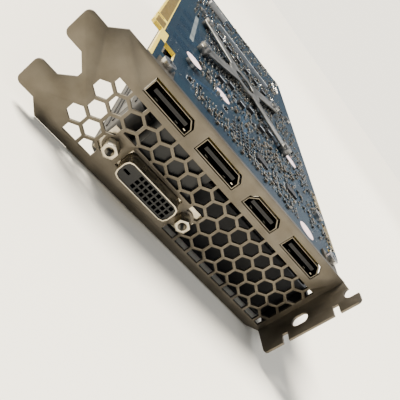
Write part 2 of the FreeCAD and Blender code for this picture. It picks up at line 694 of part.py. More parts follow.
def dvi_core():
    """The moulding of the wide port with its contact holes, from mouth to board."""
    front = outline("dvi_front", "YZ_Plane", "-(dvi_proud - dvi_recess)",
                    [dvi_loop("port_wall")],
                    "dvi_proud - dvi_recess + sheet_gauge + port_wall")
    wide = "post_spacing - 2 * post_flat"
    low_y = "dvi_y - post_spacing / 2 + post_flat"
    under_ports = "-(port_near + port_height + dvi_body_gap)"
    far = "-(dvi_depth + dvi_plate_height / 2)"
    back = "sheet_gauge + port_wall"
    body = box("dvi_body", back, low_y, far, f"dp_depth + dvi_body_gap - ({back})", wide,
               f"{under_ports} - ({far})")
    low = "-(rest_level - shroud_rise) + dvi_leg_gap"
    before_pipes = "fin_start - pipe_over - 2 * dvi_body_gap - dp_depth"
    leg = box("dvi_leg", "dp_depth + dvi_body_gap", low_y, low,
              f"min(dvi_leg_depth; {before_pipes})", wide,
              f"{UNDER} - ({low})")
    spots = [
        (-V["dvi_proud"],
         V["dvi_y"] - V["dvi_grid_shift"] + V["dvi_pitch"] * (k - 3.5),
         -V["dvi_depth"] + V["dvi_pitch"] * j)
        for k in range(8)
        for j in (-1, 0, 1)
    ]
    half = V["dvi_hole"] / 2
    holes = [
        Part.makeBox(V["dvi_hole_depth"], 2 * half, 2 * half, Vector(x, y - half, z - half))
        for x, y, z in spots
    ]
    blade_y = V["dvi_y"] + V["dvi_length"] / 2 - V["dvi_blade_inset"]
    holes.append(Part.makeBox(
        V["dvi_hole_depth"], V["dvi_blade_length"], V["dvi_blade_width"],
        Vector(-V["dvi_proud"], blade_y, -V["dvi_depth"] - V["dvi_blade_width"] / 2)))
    return cut("dvi_core", fuse("dvi_moulding", [front, body, leg]),
               [shaped("dvi_holes", Part.makeCompound(holes))])


def jack_posts():
    """Two hexagon posts with a blind thread hole, each on a shank through the bracket."""
    shank = V["sheet_gauge"] + V["port_wall"] + 2.0
    posts = []
    for sign in (-1, 1):
        y = V["dvi_y"] + sign * V["post_spacing"] / 2
        head = hexagon(y, -V["dvi_depth"], V["post_flat"], -V["post_proud"], V["post_proud"])
        stem = Part.makeCylinder(V["post_thread"], shank, Vector(0, y, -V["dvi_depth"]),
                                 Vector(1, 0, 0))
        hole = Part.makeCylinder(V["post_thread"], V["post_thread_depth"],
                                 Vector(-V["post_proud"], y, -V["dvi_depth"]), Vector(1, 0, 0))
        posts.append(head.cut(hole).fuse(stem))
    return shaped("jack_posts", Part.makeCompound(posts))


def ports():
    for name, port_y in (("dp_1", "dp_1_y"), ("dp_2", "dp_2_y"), ("dp_3", "dp_3_y")):
        index = name[-1]
        piece(f"tall_port_shell_{index}", port_shell(name, port_y, "dp_window", "dp_depth"))
        piece(f"tall_port_core_{index}", port_core(name, port_y, "dp_window", "dp_depth"))
    piece("small_port_shell", port_shell("hdmi", "hdmi_y", "hdmi_window", "hdmi_depth"))
    piece("small_port_core", port_core("hdmi", "hdmi_y", "hdmi_window", "hdmi_depth"))
    piece("dvi_shell", dvi_shell())
    piece("dvi_core", dvi_core())
    piece("dvi_jack_posts", jack_posts())


# ---- Board -------------------------------------------------------------------

def board():
    end = "card_end - board_back"
    start = "key_x - key_width / 2 - edge_short"
    finish = "key_x + key_width / 2 + edge_long"
    loop = [
        ("board_start", "board_step_y"),
        ("board_step_x", "board_step_y"),
        ("board_step_x", "-board_overhang"),
        (end, "-board_overhang"),
        (end, "board_low"),
        (f"{finish} + hook_gap + hook_width", "board_low"),
        (f"{finish} + hook_gap + hook_width", "edge_tip - edge_bevel"),
        (f"{finish} + hook_gap", "edge_tip - edge_bevel"),
        (f"{finish} + hook_gap", "board_low"),
        (finish, "board_low"),
        (finish, "edge_tip - edge_bevel"),
        (f"{finish} - edge_bevel", "edge_tip"),
        ("key_x + key_width / 2", "edge_tip"),
        ("key_x + key_width / 2", "board_low + key_width / 2"),
        ("key_x - key_width / 2", "board_low + key_width / 2"),
        ("key_x - key_width / 2", "edge_tip"),
        (f"{start} + edge_bevel", "edge_tip"),
        (start, "edge_tip - edge_bevel"),
        (start, "board_low"),
        ("board_start", "board_low"),
    ]
    slab = outline("board_slab", "XY_Plane", UNDER, [loop], "board_gauge")
    drill = [(x, y, V["hold_radius"]) for x, y in hold_spots]
    drill += [(x, y, V["screw_radius"]) for x, y in boss_spots + ear_spots]
    holes = [
        Part.makeCylinder(radius, 3 * V["board_gauge"], Vector(x, y, under - V["board_gauge"]))
        for x, y, radius in drill
    ]
    relief = box("board_relief", "relief_start", "relief_low", UNDER, "relief_length",
                 "relief_width", "board_gauge")
    return cut("circuit_board", slab, [shaped("board_holes", Part.makeCompound(holes)), relief])


def edge_contacts():
    """Plated contacts on both faces of the slot connector, on each side of the key."""
    start = V["key_x"] - V["key_width"] / 2 - V["edge_short"]
    finish = V["key_x"] + V["key_width"] / 2 + V["edge_long"]
    y = V["edge_tip"] - V["contact_inset"] - V["contact_length"] / 2
    spots = []
    for face in (solder, under - V["contact_gauge"]):
        x = start + V["contact_pitch"]
        while x < finish - V["edge_bevel"]:
            if abs(x - V["key_x"]) > V["key_width"] / 2 + V["contact_width"]:
                spots.append((x, y, face))
            x += V["contact_pitch"]
    return blocks(spots, V["contact_width"], V["contact_length"], V["contact_gauge"])


def link_contacts():
    """Two fields of plated contacts on the board's top edge."""
    y = -V["board_overhang"] + V["link_contact"] / 2 + V["link_inset"]
    spots = []
    for field in (0, 1):
        start = V["link_start"] + field * (V["link_length"] + V["link_gap"])
        count = int(V["link_length"] / V["contact_pitch"])
        for k in range(count):
            spots.append((start + (k + 0.5) * V["contact_pitch"], y, solder))
            spots.append((start + (k + 0.5) * V["contact_pitch"], y, under - V["contact_gauge"]))
    return blocks(spots, V["contact_width"], V["link_contact"], V["contact_gauge"])


def memory_spots():
    far = memory_out
    step = V["memory_step"]
    sides = [(i * far, j * step) for i in (-1, 1) for j in (-1, 0, 1)]
    return [(V["gpu_x"] + dx, V["gpu_y"] + dy) for dx, dy in sides]


def chips():
    half = "substrate_side / 2"
    piece("gpu_substrate", box("gpu_substrate", f"gpu_x - {half}", f"gpu_y - {half}",
                               UNDER + " - substrate_gauge", "substrate_side",
                               "substrate_side", "substrate_gauge"))
    piece("gpu_die", box("gpu_die", "gpu_x - die_side / 2", "gpu_y - die_side / 2", DIE_FACE,
                         "die_side", "die_side", "die_gauge"))
    top = under - V["memory_gauge"]
    spots = [(x, y, top) for x, y in memory_spots()]
    piece("memory_chips", shaped("memory_chips", blocks(
        spots, V["memory_width"], V["memory_length"], V["memory_gauge"])))
    spots = [(x, y, top - V["pad_gauge"]) for x, y in memory_spots()]
    piece("memory_thermal_pads", shaped("memory_thermal_pads", blocks(
        spots, V["memory_width"], V["memory_length"], V["pad_gauge"])))


def power_stage():
    """Chokes, transistors and capacitors, one row of each along the board's width."""
    rows = choke_rows
    side = V["choke_side"]
    spots = [(V["choke_x"], y, under - V["choke_height"]) for y in rows]
    piece("power_chokes", shaped("power_chokes", blocks(spots, side, side, V["choke_height"])))
    spots = [(V["switch_x"], y, under - V["switch_height"]) for y in rows]
    piece("power_transistors", shaped("power_transistors", blocks(
        spots, V["switch_length"], V["switch_width"], V["switch_height"])))
    cans = [
        Part.makeCylinder(V["can_radius"], V["can_height"],
                          Vector(V["can_x"], y, under - V["can_height"]))
        for y in rows
    ]
    piece("power_capacitors", shaped("power_capacitors", Part.makeCompound(cans)))


def field(x, y, columns, rows, step_x, step_y):
    """Places of small parts in rows and columns, on the solder face."""
    return [
        (x + i * step_x, y + j * step_y, solder)
        for i in range(columns)
        for j in range(rows)
    ]


def small_parts(label, spots, size):
    """One node of like parts; size is the alias that the three measures start with."""
    piece(label, shaped(label, blocks(spots, V[size + "_length"], V[size + "_width"],
                                      V[size + "_height"])))


def back_parts():
    """Small parts soldered to the face away from the cooler."""
    step_x, step_y = 2.6, 3.0
    ring = field(V["gpu_x"] - 4.5 * step_x, V["gpu_y"] - 3.5 * step_y, 10, 8, step_x, step_y)
    ceramic = [
        spot for spot in ring
        if math.hypot(spot[0] - V["gpu_x"], spot[1] - V["gpu_y"]) > V["cross_hole"] / 2
    ]
    by_ports = V["board_start"] + 12
    ceramic += [(by_ports + 2.4 * (k % 3), 30 + 4.4 * k, solder) for k in range(12)]
    small_parts("back_ceramic_capacitors", ceramic, "ceramic")
    large = [(66 + 9 * (k % 2), 27 + 7 * k, solder) for k in range(1, 7)]
    large += field(146, 22, 1, 8, 0, 8)
    small_parts("back_polymer_capacitors", large, "polymer")
    logic = [(28, 44, solder), (34, 24, solder), (196, 30, solder), (222, 60, solder)]
    small_parts("back_control_chips", logic, "logic")
    small_parts("back_resistors", field(24, 52, 5, 4, 3.0, 2.6)
                + field(206, 74, 8, 4, 3.2, 2.8), "resistor")
    power = field(board_end - V["power_back"] - 3.5 * V["power_pitch"], 2.5, 4, 2,
                  V["power_pitch"], V["power_pitch"])
    coils = field(V["choke_x"] - V["choke_pin"], V["choke_first_y"], 2, len(choke_rows),
                  2 * V["choke_pin"], V["choke_pitch"])
    dots = [
        Part.makeCone(V["joint_radius"], V["joint_radius"] / 2, V["joint_height"], Vector(*spot))
        for spot in power + coils
    ]
    piece("solder_joints", shaped("solder_joints", Part.makeCompound(dots)))


def stickers():
    """Round blank stickers; the first covers the head of a board screw."""
    over_screw = (boss_xs[0], boss_ys[1], solder + V["screw_head_height"])
    spots = [over_screw, (51.6, 66.2, solder), (80.0, 14.0, solder), (14.0, 17.6, solder)]
    discs = [
        Part.makeCylinder(V["sticker_radius"], V["sticker_gauge"], Vector(*spot))
        for spot in spots
    ]
    piece("round_stickers", shaped("round_stickers", Part.makeCompound(discs)))


def power_socket():
    """Eight-cell socket whose cells open past the board's top edge, with its pins."""
    width = 4 * V["power_pitch"] + 2 * V["power_wall"]
    height = 2 * V["power_pitch"] + 2 * V["power_wall"]
    x = board_end - V["power_back"] - width
    y = -V["board_overhang"] + V["power_inset"]
    low = under - height
    housing = Part.makeBox(width, V["power_depth"], height, Vector(x, y, low))
    cells = []
    pins = []
    for i in range(4):
        for j in range(2):
            cx = x + V["power_wall"] + (i + 0.5) * V["power_pitch"]
            cz = low + V["power_wall"] + (j + 0.5) * V["power_pitch"]
            half = V["power_cell"] / 2
            cells.append(Part.makeBox(2 * half, V["power_cell_depth"], 2 * half,
                                      Vector(cx - half, y, cz - half)))
            pin = V["power_pin"]
            pins.append(Part.makeBox(
                pin, V["power_cell_depth"] - V["power_pin_inset"], pin,
                Vector(cx - pin / 2, y + V["power_pin_inset"], cz - pin / 2)))
    latch = Part.makeBox(
        V["latch_width"], V["power_depth"] - 2 * V["latch_inset"], V["latch_height"],
        Vector(x + (width - V["latch_width"]) / 2, y + V["latch_inset"],
               low - V["latch_height"]))
    body = housing.cut(Part.makeCompound(cells)).fuse(latch)
    piece("power_socket", shaped("power_socket", body))
    piece("power_pins", shaped("power_pins", Part.makeCompound(pins)))


def fan_header():
    """A small four-pin socket near the board's end, on the cooler side."""
    x = "card_end - board_back - header_back"
    shell = box("fan_header_block", x, "header_y", UNDER + " - header_height",
                "header_width", "header_length", "header_height")
    well = box("fan_header_well", x + " + header_wall", "header_y + header_wall",
               UNDER + " - header_height", "header_width - 2 * header_wall",
               "header_length - 2 * header_wall", "header_height - header_wall")
    piece("fan_header", cut("fan_header", shell, [well]))


# ---- Hold-down and screws ------------------------------------------------------

def retention_cross():
    """An X of sheet metal with a centre ring, on the board's solder side."""
    z = solder + V["cross_lift"]
    centre = Vector(V["gpu_x"], V["gpu_y"], z)
    reach = math.hypot(V["hold_spacing"], V["hold_spacing"]) / 2
    shape = Part.makeCylinder(V["cross_ring"], V["cross_gauge"], centre)
    for angle in (45, 135):
        arm = Part.makeBox(2 * reach, V["cross_arm"], V["cross_gauge"],
                           Vector(-reach, -V["cross_arm"] / 2, 0))
        arm.Placement = Placement(centre, Rotation(Vector(0, 0, 1), angle))
        shape = shape.fuse(arm)
    for x, y in hold_spots:
        foot = Part.makeCylinder(V["cross_foot"], V["cross_lift"] + V["cross_gauge"],
                                 Vector(x, y, solder))
        shape = shape.fuse(foot)
    shape = shape.cut(Part.makeCylinder(V["cross_hole"], V["cross_gauge"], centre))
    for x, y in hold_spots:
        shape = shape.cut(Part.makeCylinder(V["hold_radius"], 3 * V["cross_lift"],
                                            Vector(x, y, solder - 0.1)))
    return shaped("retention_cross", shape.removeSplitter())


def screws(spots, shank, head, head_height, length, seat):
    """Pan-head screws with a cross recess, heads up, seated at one height."""
    made = []
    for x, y in spots:
        shape = Part.makeCylinder(head, head_height, Vector(x, y, seat))
        shape = shape.fuse(Part.makeCylinder(shank, length, Vector(x, y, seat - length)))
        for dx, dy in ((head, 0.5), (0.5, head)):
            slot = Part.makeBox(dx, dy, head_height, Vector(x - dx / 2, y - dy / 2,
                                                            seat + head_height * 0.45))
            shape = shape.cut(slot)
        made.append(shape.removeSplitter())
    return Part.makeCompound(made)


def fasteners():
    seat = solder + V["cross_lift"] + V["cross_gauge"]
    length = seat - (under - V["substrate_gauge"] - V["die_gauge"] - V["plate_gauge"])
    piece("retention_screws", shaped("retention_screws", screws(
        hold_spots, V["hold_radius"], V["hold_head"], V["hold_head_height"], length, seat)))
    piece("board_screws", shaped("board_screws", screws(
        boss_spots, V["screw_radius"], V["screw_head"], V["screw_head_height"],
        V["board_gauge"] + V["screw_length"], solder)))
    length = V["sheet_gauge"] + V["board_gauge"] - V["port_gap"]
    piece("bracket_screws", shaped("bracket_screws", screws(
        ear_spots, V["screw_radius"], V["screw_head"], V["screw_head_height"], length,
        solder + V["sheet_gauge"])))
    piece("stiffening_bar", box("stiffening_bar", "bar_x - bar_width / 2", "bar_low_y", SOLDER,
                                "bar_width", "bar_length", "bar_height"))


# ---- Cooler ------------------------------------------------------------------

def cold_plate():
    """Plate on the die and the block under it, holed for the screws and heat pipes."""
    side = "(hold_spacing + 2 * plate_edge)"
    plate = box("cold_plate_sheet", f"gpu_x - {side} / 2", f"gpu_y - {side} / 2",
                f"{DIE_FACE} - plate_gauge", side, side, "plate_gauge")
    height = f"({DIE_FACE}) - plate_gauge - ({PIPE})"
    block = box("pedestal", "gpu_x - pedestal_side / 2", "gpu_y - pedestal_side / 2",
                PIPE, "pedestal_side", "pedestal_side", height)
    tools = [pipe("groove", k) for k in (-1, 0, 1)]
    tools += [
        rod("plate_hole", f"gpu_x {i} hold_spacing / 2", f"gpu_y {j} hold_spacing / 2",
            f"{DIE_FACE} - 2 * plate_gauge", "hold_radius", "3 * plate_gauge")
        for i in "+-"
        for j in "+-"
    ]
    return cut("cold_plate", fuse("cold_plate_solid", [plate, block]), tools)


def pipe(name, k):
    return rod(name, "fin_start - pipe_over", f"gpu_y + {k} * pipe_pitch", PIPE,
               "pipe_radius", "card_end - fin_back - fin_start + 2 * pipe_over", ALONG_X)


def heat_spreader():
    """Sheet on the memory pads, with a window round the cold plate."""
    z = "-(board_face + board_gauge + memory_gauge + pad_gauge + spreader_gauge)"
    clear = "hold_spacing / 2 + plate_edge + spreader_gap + memory_width / 2"
    reach = f"(max(memory_offset; {clear}) + memory_width / 2)"
    tall = "(memory_step + memory_length / 2)"
    window = "(hold_spacing / 2 + plate_edge + spreader_gap)"
    sheet_plate = box("spreader_sheet", f"gpu_x - {reach}", f"gpu_y - max({tall}; {window} + spreader_rim)",
                      z, f"2 * {reach}", f"2 * max({tall}; {window} + spreader_rim)", "spreader_gauge")
    hole = box("spreader_window", f"gpu_x - {window}", f"gpu_y - {window}", z + " - 1",
               f"2 * {window}", f"2 * {window}", "spreader_gauge + 2")
    return cut("memory_heat_spreader", sheet_plate, [hole])


def fins():
    """Parallel fins across the card, notched for the pedestal and holed for the pipes."""
    length = V["card_end"] - V["fin_back"] - V["fin_start"]
    count = int(length / V["fin_pitch"]) + 1
    pipe_z = fin_low + V["pipe_cover"]
    holes = Part.makeCompound([
        Part.makeCylinder(V["pipe_radius"], length + 4 * V["pipe_over"],
                          Vector(V["fin_start"] - 2 * V["pipe_over"],
                                 V["gpu_y"] + k * V["pipe_pitch"], pipe_z),
                          Vector(1, 0, 0))
        for k in (-1, 0, 1)
    ])
    side = V["pedestal_side"]
    notch = Part.makeBox(side, side, -V["fin_top"] - pipe_z + 1,
                         Vector(V["gpu_x"] - side / 2, V["gpu_y"] - side / 2, pipe_z))
    sheets = []
    for k in range(count):
        x = V["fin_start"] + k * V["fin_pitch"]
        fin = Part.makeBox(V["fin_gauge"], V["fin_high_y"] - V["fin_low_y"],
                           -V["fin_top"] - fin_low, Vector(x, V["fin_low_y"], fin_low))
        fin = fin.cut(holes)
        near = abs(x + V["fin_gauge"] / 2 - V["gpu_x"]) < side / 2 + V["fin_gauge"]
        sheets.append(fin.cut(notch) if near else fin)
    return Part.makeCompound(sheets)


def tray(inset, low, height):
    """A block with the shroud's rounded plan, drawn in by the inset."""
    length = V["card_end"] - V["shroud_start"] - 2 * inset
    width = V["shroud_high_y"] - V["shroud_low_y"] - 2 * inset
    block = Part.makeBox(length, width, height,
                         Vector(V["shroud_start"] + inset, V["shroud_low_y"] + inset, low))
    return block.makeFillet(V["shroud_round"] - inset, upright_edges(block))


def shroud():
    """Cover of the cooler: a face with two openings, side walls, duct rings and posts."""
    floor = -V["rest_level"]
    wall = V["shroud_wall"]
    face = tray(0, floor, wall)
    for k in (1, 2):
        face = face.cut(duct_disc(k, duct_radius + V["duct_wall"], floor, wall))
    piece("shroud_face", shaped("shroud_face", face))

    sides = tray(0, floor + wall, V["shroud_rise"] - wall)
    sides = sides.cut(tray(wall, floor + wall, V["shroud_rise"] - wall))
    wing = Part.makeBox(
        V["shroud_start"] + V["shroud_round"] - V["shroud_wing_gap"], wall,
        V["shroud_rise"] - wall,
        Vector(V["shroud_wing_gap"], V["shroud_low_y"], floor + wall))
    sides = sides.fuse(wing).cut(port_notch()).removeSplitter()
    piece("shroud_walls", shaped("shroud_walls", sides))

    ring_height = V["fan_space"] - V["frame_gap"] - V["frame_gauge"]
    for k in (1, 2):
        ring = duct_disc(k, duct_radius + V["duct_wall"], floor, ring_height)
        ring = ring.cut(duct_disc(k, duct_radius, floor, ring_height))
        piece(f"fan_{k}_duct", shaped(f"fan_{k}_duct", ring))

    posts = []
    for x, y in boss_spots:
        low = floor + wall
        post = Part.makeCylinder(V["boss_radius"], under - low, Vector(x, y, low))
        pilot = Part.makeCylinder(V["screw_radius"], V["screw_length"],
                                  Vector(x, y, under - V["screw_length"]))
        posts.append(post.cut(pilot))
    piece("shroud_posts", shaped("shroud_posts", Part.makeCompound(posts)))


def port_notch():
    """Room in the shroud's end wall for the moulded body of the wide port."""
    gap = V["dvi_leg_gap"]
    width = V["post_spacing"] - 2 * V["post_flat"] + 2 * gap
    low = -(V["dvi_depth"] + V["dvi_plate_height"] / 2) - gap
    return Part.makeBox(
        3 * V["shroud_wall"], width, -low,
        Vector(V["shroud_start"] - V["shroud_wall"], V["dvi_y"] - width / 2, low))


def duct_disc(k, radius, low, height):
    return Part.makeCylinder(radius, height, Vector(fan_x(k), fan_y, low))


def upright_edges(shape):
    return [
        edge for edge in shape.Edges
        if abs(edge.Vertexes[0].X - edge.Vertexes[1].X) < 0.01
        and abs(edge.Vertexes[0].Y - edge.Vertexes[1].Y) < 0.01
    ]


def fan_x(k):
    return V["shroud_start"] + (2 * k - 1) * (V["card_end"] - V["shroud_start"]) / 4


def fan_carrier(k):
    """Disc behind the rotor with four arms to the opening's wall and a bearing tube."""
    z = fin_low - V["frame_gap"] - V["frame_gauge"]
    centre = Vector(fan_x(k), fan_y, z)
    shape = Part.makeCylinder(V["frame_radius"], V["frame_gauge"], centre)
    reach = duct_radius + V["duct_wall"]
    for angle in (45, 135, 225, 315):
        arm = Part.makeBox(reach, V["arm_width"], V["frame_gauge"],
                           Vector(0, -V["arm_width"] / 2, 0))
        arm.Placement = Placement(centre, Rotation(Vector(0, 0, 1), angle))
        shape = shape.fuse(arm)
    tube_length = hub_depth() - V["hub_wall"] - V["axle_gap"]
    tube = Part.makeCylinder(V["bearing_radius"] + V["tube_wall"], tube_length,
                             centre - Vector(0, 0, tube_length))
    bore = Part.makeCylinder(V["bearing_radius"], tube_length, centre - Vector(0, 0, tube_length))
    shape = shape.fuse(tube).cut(bore)
    return shaped(f"fan_{k}_carrier", shape.removeSplitter())


def hub_depth():
    """Carrier's lower face down to the rotor's outer face."""
    return V["fan_space"] - V["frame_gap"] - V["frame_gauge"] - V["rotor_recess"]


def blade(angle, top, low):
    """One ruled blade from the hub wall to the tip circle, pitched and thin."""
    tip_radius = duct_radius - V["tip_gap"]
    wires = []
    root = V["hub_radius"] - V["hub_wall"] / 2
    tip = math.sqrt(tip_radius ** 2 - (V["blade_tip_chord"] / 2) ** 2)
    for radius, chord, lead in (
        (root, V["blade_chord"], 0.0),
        (tip, V["blade_tip_chord"], V["blade_sweep"]),
    ):
        turn = math.radians(angle + lead)
        out = Vector(math.cos(turn), math.sin(turn), 0)
        side = Vector(-math.sin(turn), math.cos(turn), 0)
        up = Vector(0, 0, 1)
        corners = [
            out * radius - side * (chord / 2) + up * top,
            out * radius + side * (chord / 2) + up * (low + V["blade_gauge"]),
            out * radius + side * (chord / 2) + up * low,
            out * radius - side * (chord / 2) + up * (top - V["blade_gauge"]),
        ]
        wires.append(Part.makePolygon(corners + corners[:1]))
    return Part.makeLoft(wires, True, True)


def fan(k):
    z = fin_low - V["frame_gap"] - V["frame_gauge"]
    face = z - hub_depth()
    top = z - V["hub_gap"]
    centre = Vector(fan_x(k), fan_y, 0)

    def cylinder(radius, low, high):
        return Part.makeCylinder(radius, high - low, centre + Vector(0, 0, low))

    hub = cylinder(V["hub_radius"], face, top)
    blades = []
    count = int(V["blade_count"])
    for n in range(count):
        vane = blade(n * 360.0 / count, top - V["blade_inset"], face + V["blade_inset"])
        vane.translate(centre)
        blades.append(vane)
    rotor = hub.fuse(blades)
    well_radius = V["hub_radius"] - V["hub_wall"]
    rotor = rotor.cut(cylinder(well_radius, face + V["hub_wall"], top + 1))
    piece(f"fan_{k}_rotor", shaped(f"fan_{k}_rotor", rotor))

    low = face + V["hub_wall"]
    ring = cylinder(well_radius, low + V["ring_gap"], top - V["ring_gap"])
    ring = ring.cut(cylinder(well_radius - V["magnet_gauge"], low, top))
    piece(f"fan_{k}_magnet", shaped(f"fan_{k}_magnet", ring))
    piece(f"fan_{k}_shaft", shaped(f"fan_{k}_shaft", cylinder(
        V["shaft_radius"], low, z - V["axle_gap"])))

    bore = V["shaft_radius"] + V["running_gap"]
    bearing = cylinder(V["bearing_radius"], low + V["axle_gap"], z).cut(cylinder(bore, low, z))
    piece(f"fan_{k}_bearing", shaped(f"fan_{k}_bearing", bearing))

    stator_radius = well_radius - V["magnet_gauge"] - V["magnet_gap"]
    tube_radius = V["bearing_radius"] + V["tube_wall"]
    core_low, core_top = low + V["stator_gap"], top - V["stator_gap"]
    core = cylinder(tube_radius + V["stator_ring"], core_low, core_top)
    tall = core_top - core_low
    for n in range(6):
        pole = Part.makeBox(stator_radius - V["shoe_gauge"], V["pole_width"], tall,
                            Vector(0, -V["pole_width"] / 2, core_low))
        shoe = Part.makeBox(2 * V["shoe_gauge"], V["shoe_width"], tall,
                            Vector(stator_radius - V["shoe_gauge"], -V["shoe_width"] / 2,
                                   core_low))
        for part in (pole, shoe):
            part.rotate(Vector(), Vector(0, 0, 1), n * 60.0)
            part.translate(centre)
            core = core.fuse(part)
    core = core.common(cylinder(stator_radius, core_low, core_top))
    core = core.cut(cylinder(tube_radius, low, top))
    piece(f"fan_{k}_stator", shaped(f"fan_{k}_stator", core.removeSplitter()))
    piece(f"fan_{k}_carrier", fan_carrier(k))


def cooler():
    piece("cold_plate", cold_plate())
    piece("heat_pipes", group("heat_pipes", [pipe("heat_pipe", k) for k in (-1, 0, 1)]))
    piece("memory_heat_spreader", heat_spreader())
    piece("fin_stack", shaped("fin_stack", fins()))
    shroud()
    for k in (1, 2):
        fan(k)


def check_and_write():
    doc.recompute()
    for thing in doc.Objects:
        if "Invalid" in thing.State or "Error" in thing.State:
            raise RuntimeError(f"{thing.Name} did not compute: {thing.State}")
    os.makedirs("parts", exist_ok=True)
    for thing in pieces:
        shape = thing.Shape
        if shape.isNull() or not shape.isValid() or not shape.Solids:
            raise RuntimeError(f"{thing.Label} has no valid solid")
        shape.exportStep(os.path.join("parts", thing.Label + ".step"))
        print(thing.Label, len(shape.Solids), round(shape.Volume, 1))


piece("io_bracket", bracket())
ports()
piece("circuit_board", board())
piece("edge_contacts", shaped("edge_contacts", edge_contacts()))
piece("link_contacts", shaped("link_contacts", link_contacts()))
chips()
power_stage()
back_parts()
stickers()
power_socket()
fan_header()
piece("retention_cross", retention_cross())
fasteners()
cooler()
check_and_write()
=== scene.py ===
# %% [markdown]
# # A two-slot graphics card
# The card lies on its fans: its shroud is on the floor, its circuit board is on
# top, and its steel bracket stands at the low end of the X axis.
# Every place on it is worked out from the CAD frame, so nothing is fitted by eye.

import math
import random

import bmesh
import bpy
from mathutils import Matrix, Vector


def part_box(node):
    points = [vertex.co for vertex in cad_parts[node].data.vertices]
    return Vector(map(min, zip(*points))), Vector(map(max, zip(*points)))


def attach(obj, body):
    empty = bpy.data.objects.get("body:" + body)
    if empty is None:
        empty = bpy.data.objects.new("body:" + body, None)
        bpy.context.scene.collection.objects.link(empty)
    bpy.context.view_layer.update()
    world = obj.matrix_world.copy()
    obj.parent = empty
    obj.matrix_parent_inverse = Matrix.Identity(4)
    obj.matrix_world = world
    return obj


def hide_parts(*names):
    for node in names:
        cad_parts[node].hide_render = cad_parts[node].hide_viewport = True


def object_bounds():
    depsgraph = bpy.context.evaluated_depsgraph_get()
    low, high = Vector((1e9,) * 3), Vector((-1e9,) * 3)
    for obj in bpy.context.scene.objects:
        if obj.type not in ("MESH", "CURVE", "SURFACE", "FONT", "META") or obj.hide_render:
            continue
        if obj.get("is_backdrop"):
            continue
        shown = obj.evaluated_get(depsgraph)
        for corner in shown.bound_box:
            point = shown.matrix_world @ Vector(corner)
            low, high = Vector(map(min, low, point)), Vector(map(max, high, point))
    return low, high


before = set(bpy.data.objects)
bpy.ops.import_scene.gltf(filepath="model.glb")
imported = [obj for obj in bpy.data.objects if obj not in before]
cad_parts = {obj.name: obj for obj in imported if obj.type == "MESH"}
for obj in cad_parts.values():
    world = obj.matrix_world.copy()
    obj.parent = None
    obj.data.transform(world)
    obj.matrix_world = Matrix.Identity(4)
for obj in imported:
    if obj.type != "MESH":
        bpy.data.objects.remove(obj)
cad_box = [list(corner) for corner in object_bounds()]

# %% [markdown]
# ## One set of axes for the whole card
# A graphics card is drawn from its bracket: x runs from the bracket's outer face
# into the card, y from the bracket's folded flange up to its two tabs, and z is 0
# at the bracket's board-side edge and falls toward the fans.
# The frame's origin is under the middle of the card, so one helper moves a
# distance in millimetres from the bracket's axes to the frame's metres.

# %% The bracket's axes
MM = 0.001
BOARD_START = 1.9          # board's first edge, from the bracket's outer face
BOARD_PAST_FLANGE = 5.85   # board's long edge, past the flange
BOARD_FACE = -1.6          # solder side of the board, below the bracket's edge
board_low, board_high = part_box("circuit_board")
ORIGIN = Vector((board_low.x - BOARD_START * MM,
                 board_low.y + BOARD_PAST_FLANGE * MM,
                 board_high.z - BOARD_FACE * MM))


def at(x, y, z):
    """A point given in the bracket's axes and millimetres, in the frame's metres."""
    return ORIGIN + Vector((x, y, z)) * MM


def from_bracket(point):
    """The other way round: a point of the frame in the bracket's millimetres."""
    return (point - ORIGIN) / MM


def node_box(node):
    """Lowest and highest corner of a CAD node in the bracket's millimetres."""
    low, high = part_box(node)
    return from_bracket(low), from_bracket(high)


print("bracket's corner in the frame:", tuple(round(c, 4) for c in ORIGIN))

# %% [markdown]
# ## Camera
# The card is looked at from in front of its bracket, from a hand's width beyond
# the tabs, with the camera rolled so that the bracket's long side falls from
# upper left to lower right. A camera looks along its own -Z, with +Y up, so its
# matrix is made from three directions: right, up and back.

# %% Place the camera
CAMERA_AT = (-138.74, 112.97, 35.09)
CAMERA_RIGHT = Vector((0.03969, -0.63544, 0.77113))
CAMERA_UP = Vector((0.48633, 0.68644, 0.54063))
CAMERA_LENS = 44.91           # mm, on a sensor this wide
SENSOR_WIDTH = 36.0
NEAREST_SEEN = 0.01           # m

camera_data = bpy.data.cameras.new("camera")
camera_data.lens = CAMERA_LENS
camera_data.sensor_width = SENSOR_WIDTH
camera_data.clip_start = NEAREST_SEEN
camera = bpy.data.objects.new("camera", camera_data)
bpy.context.scene.collection.objects.link(camera)
right = CAMERA_RIGHT.normalized()
up = (CAMERA_UP - right * CAMERA_UP.dot(right)).normalized()
back = right.cross(up)
camera.matrix_world = Matrix.Translation(at(*CAMERA_AT)) @ Matrix(
    (right, up, back)).transposed().to_4x4()
bpy.context.scene.camera = camera
print("camera looks along", tuple(round(-c, 3) for c in back))

# %% [markdown]
# ## Finishes
# Every finish is a small tree of nodes on Blender's Principled shader. Most real
# surfaces are one colour that is slightly uneven, with a fine grain you feel more
# than see. So one helper makes that: a cloudy noise runs a colour ramp and the
# roughness, and a fine noise gives a bump. What is the same all over the surface
# is set on the shader itself. All patterns read Object coordinates, in metres, so
# a noise scale of 1000 has one cloud to a millimetre.

# %% A finish with clouds of colour and a fine grain
DARK_UNTIL, LIGHT_FROM = 0.3, 0.7    # of the cloud noise, for the two colours
CLOUD_DETAIL, GRAIN_DETAIL = 5.0, 2.0
GRAIN_STRENGTH = 0.6


